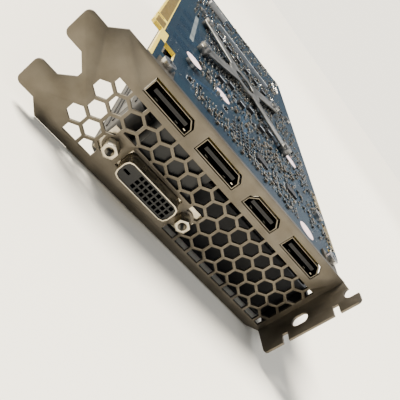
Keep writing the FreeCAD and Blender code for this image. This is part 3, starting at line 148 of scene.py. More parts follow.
def mottled(name, dark, light, cloud=4.0, roughness=(0.4, 0.55), metallic=0.0,
            grain=0.25, depth=0.01, coat=0.0, stretch=(1, 1, 1)):
    """A finish. Sizes of cloud and grain, and the grain's depth, are in millimetres."""
    made = bpy.data.materials.new(name)
    made.use_nodes = True
    nodes, links = made.node_tree.nodes, made.node_tree.links
    shader = nodes["Principled BSDF"]
    shader.inputs["Metallic"].default_value = metallic
    shader.inputs["Coat Weight"].default_value = coat
    place = nodes.new("ShaderNodeTexCoord")
    frame_of_pattern = nodes.new("ShaderNodeMapping")
    frame_of_pattern.inputs["Scale"].default_value = stretch
    links.new(place.outputs["Object"], frame_of_pattern.inputs["Vector"])
    clouds = nodes.new("ShaderNodeTexNoise")
    clouds.inputs["Scale"].default_value = 1 / (cloud * MM)
    clouds.inputs["Detail"].default_value = CLOUD_DETAIL
    links.new(frame_of_pattern.outputs["Vector"], clouds.inputs["Vector"])
    tones = nodes.new("ShaderNodeValToRGB")
    tones.color_ramp.elements[0].position = DARK_UNTIL
    tones.color_ramp.elements[0].color = (*dark, 1)
    tones.color_ramp.elements[1].position = LIGHT_FROM
    tones.color_ramp.elements[1].color = (*light, 1)
    links.new(clouds.outputs["Fac"], tones.inputs["Fac"])
    links.new(tones.outputs["Color"], shader.inputs["Base Color"])
    polish = nodes.new("ShaderNodeMapRange")
    polish.inputs["To Min"].default_value = roughness[0]
    polish.inputs["To Max"].default_value = roughness[1]
    links.new(clouds.outputs["Fac"], polish.inputs["Value"])
    links.new(polish.outputs["Result"], shader.inputs["Roughness"])
    grains = nodes.new("ShaderNodeTexNoise")
    grains.inputs["Scale"].default_value = 1 / (grain * MM)
    grains.inputs["Detail"].default_value = GRAIN_DETAIL
    links.new(frame_of_pattern.outputs["Vector"], grains.inputs["Vector"])
    relief = nodes.new("ShaderNodeBump")
    relief.inputs["Strength"].default_value = GRAIN_STRENGTH
    relief.inputs["Distance"].default_value = depth * MM
    links.new(grains.outputs["Fac"], relief.inputs["Height"])
    links.new(relief.outputs["Normal"], shader.inputs["Normal"])
    return made


print("a finish has colours", DARK_UNTIL, "to", LIGHT_FROM, "of its clouds")

# %% [markdown]
# ## The finishes of a graphics card
# The bracket is thin steel with a nickel plating, which is warmer and duller than
# chrome. The port shells have a similar plating, brighter on the wide one and its
# posts. The four small shells and the posts' threads wear a darker copy of that
# plating, which is painted shade. Moulded parts are black nylon or
# glass-filled plastic with a spark-eroded grain, the chips are black epoxy with a
# finer one, and the cooler is plain aluminium and copper.

# %% Metals
NICKEL = mottled("nickel_plate", (0.115, 0.102, 0.082), (0.170, 0.153, 0.126), cloud=9,
                 roughness=(0.36, 0.50), metallic=0.85, grain=0.40, depth=0.022)
BRIGHT_NICKEL = mottled("port_nickel", (0.40, 0.365, 0.29), (0.52, 0.475, 0.39), cloud=3,
                        roughness=(0.22, 0.34), metallic=1, grain=0.2, depth=0.003)
# A darker copy of the port nickel: painted shade on the four small shells and on the jack
# posts' threads.
SHADED_NICKEL = mottled("nickel_painted_shade", (0.14, 0.125, 0.10), (0.21, 0.19, 0.155), cloud=3,
                      roughness=(0.28, 0.40), metallic=1, grain=0.2, depth=0.003)
GOLD = mottled("gold_plate", (0.52, 0.41, 0.21), (0.66, 0.54, 0.31), cloud=2,
               roughness=(0.25, 0.38), metallic=1, grain=0.1, depth=0.002)
TIN = mottled("tinned_end", (0.40, 0.375, 0.33), (0.72, 0.69, 0.62), cloud=2.5,
              roughness=(0.18, 0.34), metallic=1, grain=0.3, depth=0.03)
SPRING_STEEL = mottled("spring_steel", (0.22, 0.215, 0.20), (0.32, 0.31, 0.29), cloud=9,
                       roughness=(0.34, 0.48), metallic=1, grain=0.3, depth=0.006)
BAR_GREY = mottled("painted_bar", (0.34, 0.36, 0.38), (0.46, 0.48, 0.50), cloud=5,
                   roughness=(0.35, 0.5), metallic=0.25, grain=0.25, depth=0.006)
ZINC = mottled("zinc_screw", (0.42, 0.41, 0.39), (0.58, 0.57, 0.55), cloud=1.5,
               roughness=(0.22, 0.36), metallic=1, grain=0.2, depth=0.004)
ALUMINIUM = mottled("fin_aluminium", (0.62, 0.62, 0.62), (0.74, 0.74, 0.73), cloud=8,
                    roughness=(0.32, 0.46), metallic=1, grain=0.3, depth=0.004,
                    stretch=(1, 0.1, 0.1))
COPPER = mottled("copper_pipe", (0.62, 0.30, 0.17), (0.80, 0.43, 0.26), cloud=7,
                 roughness=(0.26, 0.42), metallic=1, grain=0.3, depth=0.004)
BRONZE = mottled("bearing_bronze", (0.42, 0.27, 0.11), (0.58, 0.39, 0.18), cloud=1,
                 roughness=(0.35, 0.5), metallic=1, grain=0.1, depth=0.006)
DIE = mottled("bare_silicon", (0.10, 0.11, 0.13), (0.16, 0.17, 0.20), cloud=8,
              roughness=(0.05, 0.12), metallic=0.7, grain=0.5, depth=0.001)
print("metals made")

# %% Plastics, ceramics and the rest
PORT_BLACK = mottled("port_moulding", (0.003, 0.003, 0.0035), (0.007, 0.007, 0.008),
                     cloud=2, roughness=(0.40, 0.55), grain=0.15, depth=0.006)
DVI_BLACK = mottled("wide_port_moulding", (0.005, 0.006, 0.007), (0.011, 0.012, 0.014),
                    cloud=3, roughness=(0.38, 0.5), grain=0.12, depth=0.006)
SHROUD_BLACK = mottled("shroud_moulding", (0.011, 0.011, 0.012), (0.021, 0.021, 0.023),
                       cloud=12, roughness=(0.46, 0.60), grain=0.35, depth=0.03)
SHROUD_GREY = mottled("shroud_trim", (0.12, 0.12, 0.125), (0.17, 0.17, 0.175),
                      cloud=9, roughness=(0.30, 0.42), metallic=0.85, grain=0.2,
                      depth=0.004, stretch=(0.05, 1, 1))
FAN_BLACK = mottled("fan_moulding", (0.012, 0.012, 0.013), (0.024, 0.024, 0.026),
                    cloud=10, roughness=(0.34, 0.46), grain=0.3, depth=0.01)
CHIP_BLACK = mottled("chip_epoxy", (0.012, 0.012, 0.013), (0.028, 0.028, 0.030),
                     cloud=1.5, roughness=(0.45, 0.62), grain=0.12, depth=0.012)
FERRITE = mottled("pressed_ferrite", (0.055, 0.055, 0.06), (0.10, 0.10, 0.105),
                  cloud=0.8, roughness=(0.5, 0.7), grain=0.2, depth=0.03)
CERAMIC = mottled("capacitor_ceramic", (0.06, 0.042, 0.027), (0.19, 0.155, 0.11),
                  cloud=0.9, roughness=(0.4, 0.55), grain=0.08, depth=0.006)
PAD_GREY = mottled("thermal_pad", (0.32, 0.36, 0.40), (0.42, 0.46, 0.50), cloud=3,
                   roughness=(0.7, 0.85), grain=0.3, depth=0.03)
PACKAGE = mottled("package_green", (0.012, 0.085, 0.035), (0.020, 0.12, 0.05),
                  cloud=4, roughness=(0.28, 0.4), grain=0.2, depth=0.006)
PAPER = mottled("sticker_paper", (0.74, 0.56, 0.57), (0.86, 0.70, 0.70), cloud=5,
                roughness=(0.5, 0.65), grain=0.15, depth=0.008)
WHITE = mottled("off_white_nylon", (0.66, 0.63, 0.55), (0.78, 0.75, 0.68), cloud=3,
                roughness=(0.4, 0.55), grain=0.2, depth=0.006)
MAGNET = mottled("bonded_magnet", (0.030, 0.026, 0.024), (0.055, 0.048, 0.044),
                 cloud=1.2, roughness=(0.55, 0.75), grain=0.15, depth=0.02)
CORE = mottled("stator_iron", (0.13, 0.085, 0.055), (0.24, 0.17, 0.12), cloud=1.0,
               roughness=(0.4, 0.6), metallic=0.8, grain=0.15, depth=0.01,
               stretch=(1, 1, 6))
print("plastics made")

# %% [markdown]
# ## The circuit board's finish
# A board is glass laminate, a yellow-green brown at its cut edges, under a blue
# solder mask. Copper tracks show through the mask as slightly paler, slightly
# raised lines, and larger copper areas as paler patches. The mask ends short of
# the slot connector's tip, so the laminate shows between the contacts there.
# The tree mixes three colours: which way the surface faces tells the cut edge
# from the faces, and the place on the board tells the bare strip along the
# connector and a small bare patch by the slot in the corner.

# %% Sizes and colours of the board's pattern
MASK_END = 99.6    # the mask stops here on the slot side, along y
PATCH_START_X, PATCH_END_X, PATCH_LOW_Y = 31.3, 44.6, 97.4    # bare patch by the slot
TRACK_CELL, POUR_CELL, WEAVE_CELL = 2.6, 9, 0.5    # sizes of the three patterns, mm
POUR_FROM = 0.55       # a copper area where the cell's random tone is above this
LINE_WITHIN = 0.05     # a track where the cell's edge is this near
LINE_SHOWS, POUR_SHOWS, WEAVE_SHOWS = 0.8, 0.55, 0.3
FLAT_FROM = 0.7        # upright part of the normal, on the board's two faces
MASK_RELIEF = 0.035    # mm
MASK_DARK = (0.004, 0.016, 0.030, 1)
MASK_COPPER = (0.008, 0.027, 0.044, 1)
LAMINATE_DARK = (0.50, 0.38, 0.07, 1)
LAMINATE_LIGHT = (0.78, 0.63, 0.17, 1)
print("mask ends at", MASK_END, "mm")

# %% Helpers for the board's tree
BOARD = bpy.data.materials.new("board_mask")
BOARD.use_nodes = True
nodes, links = BOARD.node_tree.nodes, BOARD.node_tree.links
shader = nodes["Principled BSDF"]
shader.inputs["Coat Weight"].default_value = 0.05
shader.inputs["Specular IOR Level"].default_value = 0.28
shader.inputs["Coat Roughness"].default_value = 0.12
place = nodes.new("ShaderNodeTexCoord")


def maths(operation, first, second=None):
    """One Math node of the board's tree, from sockets or plain numbers."""
    node = nodes.new("ShaderNodeMath")
    node.operation = operation
    for slot_index, value in enumerate((first, second)):
        if value is None:
            continue
        if isinstance(value, (int, float)):
            node.inputs[slot_index].default_value = value
        else:
            links.new(value, node.inputs[slot_index])
    return node.outputs["Value"]


def blend_colours(factor, first, second):
    """Mixes two colours, each a socket or four numbers."""
    node = nodes.new("ShaderNodeMix")
    node.data_type = "RGBA"
    links.new(factor, node.inputs["Factor"])
    for name, value in (("A", first), ("B", second)):
        socket = [s for s in node.inputs if s.name == name and s.type == "RGBA"][0]
        if isinstance(value, tuple):
            socket.default_value = value
        else:
            links.new(value, socket)
    return [s for s in node.outputs if s.type == "RGBA"][0]


print("board tree started")

# %% Where the mask lies
facing = nodes.new("ShaderNodeSeparateXYZ")
links.new(place.outputs["Normal"], facing.inputs["Vector"])
on_face = maths("GREATER_THAN", maths("ABSOLUTE", facing.outputs["Z"]), FLAT_FROM)
where = nodes.new("ShaderNodeSeparateXYZ")
links.new(place.outputs["Object"], where.inputs["Vector"])
masked = maths("LESS_THAN", where.outputs["Y"], at(0, MASK_END, 0).y)
masked = maths("MULTIPLY", masked, on_face)
bare = maths("GREATER_THAN", where.outputs["Y"], at(0, PATCH_LOW_Y, 0).y)
bare = maths("MULTIPLY", bare, maths("LESS_THAN", where.outputs["X"],
                                     at(PATCH_END_X, 0, 0).x))
bare = maths("MULTIPLY", bare, maths("GREATER_THAN", where.outputs["X"],
                                     at(PATCH_START_X, 0, 0).x))
masked = maths("MULTIPLY", masked, maths("SUBTRACT", 1.0, bare))
print("nodes that place the mask:", len(nodes))

# %% Copper, weave and relief
tracks = nodes.new("ShaderNodeTexVoronoi")
tracks.feature = "DISTANCE_TO_EDGE"
tracks.distance = "EUCLIDEAN"
tracks.inputs["Scale"].default_value = 1 / (TRACK_CELL * MM)
links.new(place.outputs["Object"], tracks.inputs["Vector"])
pours = nodes.new("ShaderNodeTexVoronoi")
pours.distance = "CHEBYCHEV"
pours.inputs["Scale"].default_value = 1 / (POUR_CELL * MM)
links.new(place.outputs["Object"], pours.inputs["Vector"])
pour_tone = nodes.new("ShaderNodeSeparateColor")
links.new(pours.outputs["Color"], pour_tone.inputs["Color"])
pour = maths("GREATER_THAN", pour_tone.outputs["Red"], POUR_FROM)
line = maths("LESS_THAN", tracks.outputs["Distance"], LINE_WITHIN)
copper_under = maths("MINIMUM", maths("ADD", maths("MULTIPLY", line, LINE_SHOWS),
                                      maths("MULTIPLY", pour, POUR_SHOWS)), 1.0)
mask_colour = blend_colours(copper_under, MASK_DARK, MASK_COPPER)
weave = nodes.new("ShaderNodeTexNoise")
weave.inputs["Scale"].default_value = 1 / (WEAVE_CELL * MM)
links.new(place.outputs["Object"], weave.inputs["Vector"])
laminate = blend_colours(weave.outputs["Fac"], LAMINATE_DARK, LAMINATE_LIGHT)
board_colour = blend_colours(masked, laminate, mask_colour)
links.new(board_colour, shader.inputs["Base Color"])
gloss = nodes.new("ShaderNodeMapRange")
gloss.inputs["To Min"].default_value = 0.30
gloss.inputs["To Max"].default_value = 0.48
links.new(weave.outputs["Fac"], gloss.inputs["Value"])
links.new(gloss.outputs["Result"], shader.inputs["Roughness"])
height = maths("ADD", copper_under, maths("MULTIPLY", weave.outputs["Fac"], WEAVE_SHOWS))
relief = nodes.new("ShaderNodeBump")
relief.inputs["Distance"].default_value = MASK_RELIEF * MM
links.new(height, relief.inputs["Height"])
links.new(relief.outputs["Normal"], shader.inputs["Normal"])
print("board finish:", len(nodes), "nodes")

# %% [markdown]
# ## Give every CAD node its finish
# A node whose shape is right keeps its mesh and only gets a material in its slot.

# %% CAD nodes by finish
SMALL_SHELLS = ["tall_port_shell_1", "tall_port_shell_2", "tall_port_shell_3",
                "small_port_shell"]
WEARS = {
    NICKEL: ["io_bracket"],
    BRIGHT_NICKEL: ["dvi_shell", "dvi_jack_posts"],
    # the small shells wear the darker nickel, which is painted shade
    SHADED_NICKEL: SMALL_SHELLS,
    PORT_BLACK: ["tall_port_core_1", "tall_port_core_2", "tall_port_core_3",
                 "small_port_core", "power_socket"],
    DVI_BLACK: ["dvi_core"],
    BOARD: ["circuit_board"],
    GOLD: ["edge_contacts", "link_contacts"],
    PACKAGE: ["gpu_substrate"],
    DIE: ["gpu_die"],
    CHIP_BLACK: ["memory_chips", "power_transistors", "back_control_chips",
                 "back_resistors", "back_polymer_capacitors"],
    PAD_GREY: ["memory_thermal_pads"],
    FERRITE: ["power_chokes"],
    ALUMINIUM: ["power_capacitors", "memory_heat_spreader", "fin_stack"],
    CERAMIC: ["back_ceramic_capacitors"],
    TIN: ["solder_joints", "power_pins"],
    PAPER: ["round_stickers"],
    WHITE: ["fan_header"],
    SPRING_STEEL: ["retention_cross"],
    BAR_GREY: ["stiffening_bar"],
    ZINC: ["retention_screws", "board_screws", "bracket_screws", "fan_1_shaft",
           "fan_2_shaft"],
    COPPER: ["cold_plate", "heat_pipes"],
    SHROUD_BLACK: ["shroud_face", "shroud_walls", "shroud_posts", "fan_1_duct",
                   "fan_2_duct", "fan_1_carrier", "fan_2_carrier"],
    FAN_BLACK: ["fan_1_rotor", "fan_2_rotor"],
    MAGNET: ["fan_1_magnet", "fan_2_magnet"],
    BRONZE: ["fan_1_bearing", "fan_2_bearing"],
    CORE: ["fan_1_stator", "fan_2_stator"],
}
for material, members in WEARS.items():
    for node in members:
        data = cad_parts[node].data
        data.materials.clear()
        data.materials.append(material)
print("finishes given:", sum(len(m) for m in WEARS.values()), "of", len(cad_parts))

# %% [markdown]
# ## Tools for new pieces
# A piece starts as a bmesh: boxes, rods and copies of CAD nodes put together in
# the bracket's millimetres. Real edges are never sharp, and it is the small round
# on an edge that catches the light, so most pieces end with a narrow bevel.
# The copy of a CAD node has its loose triangles merged and its flat faces joined
# first, because a bevel needs to know which edges are real.

# %% Boxes, rods, turned shapes and rounded edges


def block(tool, low, high, turn=0.0):
    """A box between two corners; turn is in degrees, about its own middle."""
    low, high = Vector(low), Vector(high)
    size = (high - low) * MM
    place = (Matrix.Translation(at(*((low + high) / 2)))
             @ Matrix.Rotation(math.radians(turn), 4, "Z")
             @ Matrix.Diagonal((*size, 1)))
    return bmesh.ops.create_cube(tool, size=1.0, matrix=place)["verts"]


LIE_ALONG = {"X": Matrix.Rotation(math.pi / 2, 4, "Y"),
             "Y": Matrix.Rotation(-math.pi / 2, 4, "X"),
             "Z": Matrix.Identity(4)}


def rod(tool, middle, radius, length, axis="Z", sides=24, far_radius=None):
    """A rod, or a cone where the radius at its far end differs."""
    far_radius = radius if far_radius is None else far_radius
    place = Matrix.Translation(at(*middle)) @ LIE_ALONG[axis]
    return bmesh.ops.create_cone(tool, cap_ends=True, segments=sides,
                                 radius1=radius * MM, radius2=far_radius * MM,
                                 depth=length * MM, matrix=place)["verts"]


def turned(tool, outline, middle, axis, steps):
    """Turns an open outline all the way round an axis, as on a lathe."""
    points = [tool.verts.new(at(*point)) for point in outline]
    lines = [tool.edges.new(pair) for pair in zip(points, points[1:])]
    bmesh.ops.spin(tool, geom=points + lines, cent=at(*middle), axis=axis,
                   angle=2 * math.pi, steps=steps, use_merge=True)


def soften(tool, width, segments=2, angle=30):
    """Rounds every edge that turns by more than an angle, in degrees."""
    sharp = [e for e in tool.edges if len(e.link_faces) == 2
             and e.calc_face_angle(0) > math.radians(angle)]
    bmesh.ops.bevel(tool, geom=sharp, offset=width * MM, offset_type="OFFSET",
                    segments=segments, profile=0.5, affect="EDGES", material=-1,
                    clamp_overlap=True)


SAME_POINT = 0.002     # mm; points nearer than this are one point
FLAT_WITHIN = 0.5      # degrees; faces that turn by less are one face


def copy_of(node):
    """A bmesh of a CAD node, with doubles merged and flat faces joined."""
    tool = bmesh.new()
    tool.from_mesh(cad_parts[node].data)
    bmesh.ops.remove_doubles(tool, verts=tool.verts, dist=SAME_POINT * MM)
    bmesh.ops.dissolve_limit(tool, angle_limit=math.radians(FLAT_WITHIN),
                             verts=tool.verts, edges=tool.edges)
    return tool


def finish_piece(name, tool, material, body="card", stands_for=(), crease=35):
    """Turns a bmesh into a piece that rides on a body of the card."""
    bmesh.ops.recalc_face_normals(tool, faces=tool.faces)
    mesh = bpy.data.meshes.new(name)
    tool.to_mesh(mesh)
    tool.free()
    mesh.shade_smooth()
    mesh.set_sharp_from_angle(angle=math.radians(crease))
    mesh.materials.append(material)
    piece = bpy.data.objects.new(name, mesh)
    bpy.context.scene.collection.objects.link(piece)
    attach(piece, body)
    if stands_for:
        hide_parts(*stands_for)
    print(name, "has", len(mesh.polygons), "faces")
    return piece


def islands(node):
    """The box of each separate part in a CAD node, in the bracket's millimetres."""
    tool = bmesh.new()
    tool.from_mesh(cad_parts[node].data)
    bmesh.ops.remove_doubles(tool, verts=tool.verts, dist=SAME_POINT * MM)
    tool.verts.ensure_lookup_table()
    seen = set()
    boxes = []
    for first in tool.verts:
        if first.index in seen:
            continue
        seen.add(first.index)
        waiting = [first]
        points = []
        while waiting:
            vertex = waiting.pop()
            points.append(from_bracket(vertex.co))
            for edge in vertex.link_edges:
                other = edge.other_vert(vertex)
                if other.index not in seen:
                    seen.add(other.index)
                    waiting.append(other)
        boxes.append((Vector(map(min, zip(*points))), Vector(map(max, zip(*points)))))
    tool.free()
    return boxes


print("tools ready")

# %% [markdown]
# ## Sheet metal with real edges
# A punched sheet has a tiny round on one side of every cut and on every bend.
# The bracket, the shells and the cross keep the CAD shape and get that round, so
# that each vent cell shows a thin bright rim. Some moulded parts, chokes and cans
# get a wider one in the same way. A copy wears the finish of its node.

# %% Rounded copies, from the bracket to the heat spreader
SOFT_COPIES = [
    # round in mm, its segments, slot, nodes
    (0.16, 2, "bracket_steel", ["io_bracket"]),
    (0.35, 3, "port_steel", ["dvi_shell"]),
    (0.09, 1, "port_steel", SMALL_SHELLS),
    (0.25, 2, "port_steel", ["dvi_jack_posts"]),
    (0.22, 2, "cross_steel", ["retention_cross"]),
    (0.25, 2, "port_plastic", ["power_socket"]),
    (0.2, 2, "white_plastic", ["fan_header"]),
    (0.35, 2, "shroud_plastic", ["shroud_walls"]),
    (0.4, 2, "shroud_plastic", ["fan_1_duct", "fan_2_duct"]),
    (0.5, 2, "ferrite", ["power_chokes"]),
    (0.3, 2, "can_aluminium", ["power_capacitors"]),
    (0.1, 1, "chip_plastic", ["power_transistors"]),
    (0.25, 1, "can_aluminium", ["memory_heat_spreader"]),
]
for width, segments, slot, members in SOFT_COPIES:
    for node in members:
        tool = copy_of(node)
        soften(tool, width, segments)
        finish_piece(node + "_finished", tool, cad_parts[node].data.materials[0],
                     stands_for=(node,))

# %% [markdown]
# ## Parts on the solder side
# The back of the board is crowded with chip capacitors, resistors and a few small
# chips. Each is a moulded or fired body with tinned ends or legs. They are only a
# millimetre or two long, so a box with softened edges and two end caps is enough,
# and hundreds of them make the surface read as a real board. The larger ones take
# their places from the CAD nodes, whose separate solids are measured one by one.

# %% Bodies, ends and legs
END_SHARE = 0.26      # of a chip's length, for each tinned end
END_PROUD = 0.04      # the tinned end stands this far off the body
part_bodies = {"tan": bmesh.new(), "black": bmesh.new()}
part_ends = bmesh.new()


def chip_part(body, low, high):
    """A two-ended chip: a body and two metal ends, along its longer side."""
    low, high = Vector(low), Vector(high)
    along = 0 if high.x - low.x > high.y - low.y else 1
    end = (high[along] - low[along]) * END_SHARE
    inner_low, inner_high = low.copy(), high.copy()
    inner_low[along] += end
    inner_high[along] -= end
    inner_high.z -= END_PROUD
    block(part_bodies[body], inner_low, inner_high)
    for side in (0, 1):
        cap_low, cap_high = low.copy(), high.copy()
        if side:
            cap_low[along] = high[along] - end
        else:
            cap_high[along] = low[along] + end
        block(part_ends, cap_low, cap_high)


taken = []            # rectangles of the board that are in use
for node in ("back_ceramic_capacitors", "back_resistors"):
    kind = "tan" if "ceramic" in node else "black"
    for low, high in islands(node):
        chip_part(kind, low, high)
        taken.append((low.x, low.y, high.x, high.y))
print("larger chips placed:", len(taken))

# %% Keep clear of what is already there
CLEAR = 0.35          # mm between neighbours
for node in ("back_polymer_capacitors", "back_control_chips", "solder_joints",
             "round_stickers", "stiffening_bar", "retention_screws", "board_screws",
             "bracket_screws", "edge_contacts"):
    for low, high in islands(node):
        taken.append((low.x, low.y, high.x, high.y))
RELIEF = (18.5, 91.0, 34.8, 99.5)          # slot through the board
LABEL = (72.0, 85.0, 134.0, 89.6)          # paper strip
CLIP = (209.0, 64.0, 226.0, 83.0)          # folded clip
taken += [RELIEF, LABEL, CLIP, (0.0, 88.5, 13.5, 102.0), (0.0, 0.0, 13.5, 11.5)]


def is_free(x_low, y_low, x_high, y_high):
    """True where a rectangle of the board is still empty."""
    return not any(x_low < b[2] + CLEAR and x_high > b[0] - CLEAR
                   and y_low < b[3] + CLEAR and y_high > b[1] - CLEAR for b in taken)


TURN_SHARE = 0.3      # of the chips stand crosswise
JITTER = 0.12         # of the pitch, each way


def scatter(field, pitch, sizes, kinds, share):
    """Chips at jittered places of a grid over a field of the board."""
    placed = 0
    columns = int((field[2] - field[0]) / pitch[0])
    rows = int((field[3] - field[1]) / pitch[1])
    for i in range(columns):
        for j in range(rows):
            if chance.random() > share:
                continue
            length, width, height = chance.choice(sizes)
            if chance.random() < TURN_SHARE:
                length, width = width, length
            x = field[0] + (i + 0.5 + chance.uniform(-JITTER, JITTER)) * pitch[0]
            y = field[1] + (j + 0.5 + chance.uniform(-JITTER, JITTER)) * pitch[1]
            spot = (x - length / 2, y - width / 2, x + length / 2, y + width / 2)
            if not is_free(*spot):
                continue
            chip_part(chance.choice(kinds), (spot[0], spot[1], BOARD_FACE),
                      (spot[2], spot[3], BOARD_FACE + height))
            taken.append(spot)
            placed += 1
    return placed


chance = random.Random(7)
SMALL, MEDIUM, LARGE = (1.0, 0.5, 0.45), (1.6, 0.8, 0.75), (2.1, 1.25, 1.1)
FINE, MIXED, ALL_SIZES = [SMALL, SMALL, MEDIUM], [SMALL, MEDIUM], [SMALL, MEDIUM, LARGE]
EVEN, DARKER = ["tan", "black"], ["tan", "black", "black"]
FIELDS = [
    # x and y limits, pitch, sizes, kinds, share of places used
    ((15, 22, 30, 84), (2.1, 1.7), FINE, DARKER, 0.78),
    ((30, 14, 47, 60), (2.2, 1.9), FINE, DARKER, 0.62),
    ((44, 18, 60, 84), (2.5, 2.2), [MEDIUM, MEDIUM, LARGE], ["tan", "tan", "black"], 0.60),
    ((60, 8, 74, 84), (2.6, 2.4), MIXED, EVEN, 0.58),
    ((72, 0, 140, 22), (2.6, 2.4), MIXED, EVEN, 0.58),
    ((76, 24, 134, 82), (2.2, 2.1), MIXED, DARKER, 0.60),
    ((132, 6, 172, 92), (2.8, 2.5), ALL_SIZES, EVEN, 0.60),
    ((176, 6, 208, 92), (3.2, 2.8), ALL_SIZES, EVEN, 0.52),
    ((208, 8, 254, 94), (3.6, 3.2), ALL_SIZES, EVEN, 0.46),
    ((20, -3, 72, 13), (2.8, 2.2), MIXED, EVEN, 0.45),
]
for limits, pitch, sizes, kinds, share in FIELDS:
    print("field", limits, "has", scatter(limits, pitch, sizes, kinds, share), "chips")

# %% Finish the chips
CHIP_ROUND = 0.06
for tool in (*part_bodies.values(), part_ends):
    soften(tool, CHIP_ROUND, 1)
finish_piece("ceramic_chips", part_bodies["tan"], CERAMIC,
             stands_for=("back_ceramic_capacitors",))
finish_piece("resistor_chips", part_bodies["black"], CHIP_BLACK,
             stands_for=("back_resistors",))
finish_piece("chip_ends", part_ends, TIN)

# %% [markdown]
# ## Control chips and polymer capacitors
# A control chip is a flat black body on gull-wing legs, with a small round mark
# moulded at its first leg. A polymer capacitor is a taller black block with a pale
# band at its positive end and two tabs folded under it.

# %% Control chips
LEG_PITCH = 0.8
LEG_WIDTH = 0.34
LEG_REACH = 0.5       # out from the body
bodies, legs, dots = bmesh.new(), bmesh.new(), bmesh.new()
logic_chips = islands("back_control_chips")
LOGIC_SIZE = Vector((2.9, 1.6, 0.9))
LOGIC_AT = ((20.5, 36.0), (38.0, 64.0), (23.0, 83.5), (60.0, 45.0),
            (68.0, 58.0), (150.0, 12.5), (190.0, 66.0), (240.0, 40.0))
for x, y in LOGIC_AT:
    corner = Vector((x, y, BOARD_FACE))
    logic_chips.append((corner, corner + LOGIC_SIZE))
for low, high in logic_chips:
    block(bodies, (low.x + LEG_REACH, low.y, low.z + 0.1),
          (high.x - LEG_REACH, high.y, high.z))
    rod(dots, (low.x + LEG_REACH + 0.6, low.y + 0.6, high.z - 0.01), 0.25, 0.04, sides=12)
    count = max(2, int((high.y - low.y - 0.3) / LEG_PITCH))
    start = (low.y + high.y) / 2 - (count - 1) * LEG_PITCH / 2
    for k in range(count):
        y = start + k * LEG_PITCH
        for x_out, x_in in ((low.x, low.x + LEG_REACH), (high.x, high.x - LEG_REACH)):
            a, b = sorted((x_out, x_in))
            block(legs, (a, y - LEG_WIDTH / 2, low.z), (b, y + LEG_WIDTH / 2, low.z + 0.12))
            block(legs, (x_in, y - LEG_WIDTH / 2, low.z),
                  (x_in + 0.12, y + LEG_WIDTH / 2, low.z + 0.5))
soften(bodies, 0.12, 1)
finish_piece("control_chips", bodies, CHIP_BLACK,
             stands_for=("back_control_chips",))
finish_piece("control_chip_legs", legs, TIN)
finish_piece("control_chip_marks", dots, PAD_GREY)

# %% Polymer capacitors
bodies, bands, tabs = bmesh.new(), bmesh.new(), bmesh.new()
for low, high in islands("back_polymer_capacitors"):
    block(bodies, (low.x + 0.15, low.y, low.z + 0.12),
          (high.x - 0.15, high.y, high.z - 0.02))
    block(bands, (low.x + 0.3, low.y + 0.15, high.z - 0.05),
          (low.x + 1.1, high.y - 0.15, high.z))
    for x in (low.x, high.x - 0.9):
        block(tabs, (x, low.y + 0.6, low.z), (x + 0.9, high.y - 0.6, low.z + 0.5))
soften(bodies, 0.18, 2)
finish_piece("polymer_capacitor_bodies", bodies, CHIP_BLACK,
             stands_for=("back_polymer_capacitors",))
finish_piece("polymer_capacitor_bands", bands, PAD_GREY)
finish_piece("polymer_capacitor_tabs", tabs, TIN)

# %% [markdown]
# ## Tracks, vias and bare pads
# Copper tracks lie under the mask and lift it by a few hundredths of a millimetre.
# They run in bundles, straight and at 45 degrees. A bundle here is a few thin bars
# side by side, each made of short straight runs. Vias are small tinned rings with a
# black disc in the middle, which is painted shade in place of a hole, and the long
# slot in the board's corner is left as the CAD cut it.

# %% Tracks
TRACK_WIDTH = 0.16
TRACK_HEIGHT = 0.03
TRACK = mottled("covered_track", (0.016, 0.045, 0.085), (0.024, 0.062, 0.110), cloud=2,
                roughness=(0.3, 0.42), grain=0.3, depth=0.004, coat=0.3)


def run(tool, first, second, width, height):
    """One straight bar on the board between two points."""
    first, second = Vector(first), Vector(second)
    along = second - first
    middle = (first + second) / 2
    place = (Matrix.Translation(at(middle.x, middle.y, BOARD_FACE + height / 2))
             @ Matrix.Rotation(math.atan2(along.y, along.x), 4, "Z")
             @ Matrix.Diagonal(((along.length + width) * MM, width * MM, height * MM, 1)))
    bmesh.ops.create_cube(tool, size=1.0, matrix=place)


tool = bmesh.new()
BUNDLES = [
    # start, corners by steps (dx, dy), number of tracks, spacing step (dx, dy)
    ((16, 60), [(10, 0), (9, -9), (22, 0), (8, 8), (14, 0)], 8, (0, 0.42)),
    ((16, 80), [(16, 0), (12, -12), (30, 0)], 8, (0, 0.42)),
    ((16, 40), [(14, 0), (10, 10), (36, 0)], 8, (0, 0.42)),
    ((50, 96), [(0, -8), (8, -8), (18, 0)], 12, (0.8, 0)),
    ((66, 96), [(0, -6), (10, -10), (10, 0)], 12, (0.8, 0)),
    ((84, 96), [(0, -9), (6, -6)], 16, (0.8, 0)),
    ((104, 96), [(0, -8), (-4, -4)], 16, (0.8, 0)),
    ((28, 0.5), [(0, 8), (16, 16), (20, 0)], 10, (0.9, 0)),
    ((56, 0.5), [(0, 7), (10, 10), (8, 0)], 10, (0.9, 0)),
    ((140, 30), [(16, 0), (8, 8), (26, 0)], 6, (0, 0.6)),
    ((190, 50), [(20, 0), (10, -10), (24, 0)], 6, (0, 0.8)),
    ((200, 90), [(20, 0), (6, -6), (20, 0)], 5, (0, 0.8)),
]
for start, steps, count, spacing in BUNDLES:
    for k in range(count):
        point = Vector(start) + Vector(spacing) * k
        for step in steps:
            corner = point + Vector(step)
            run(tool, point, corner, TRACK_WIDTH, TRACK_HEIGHT)
            point = corner
finish_piece("board_tracks", tool, TRACK)

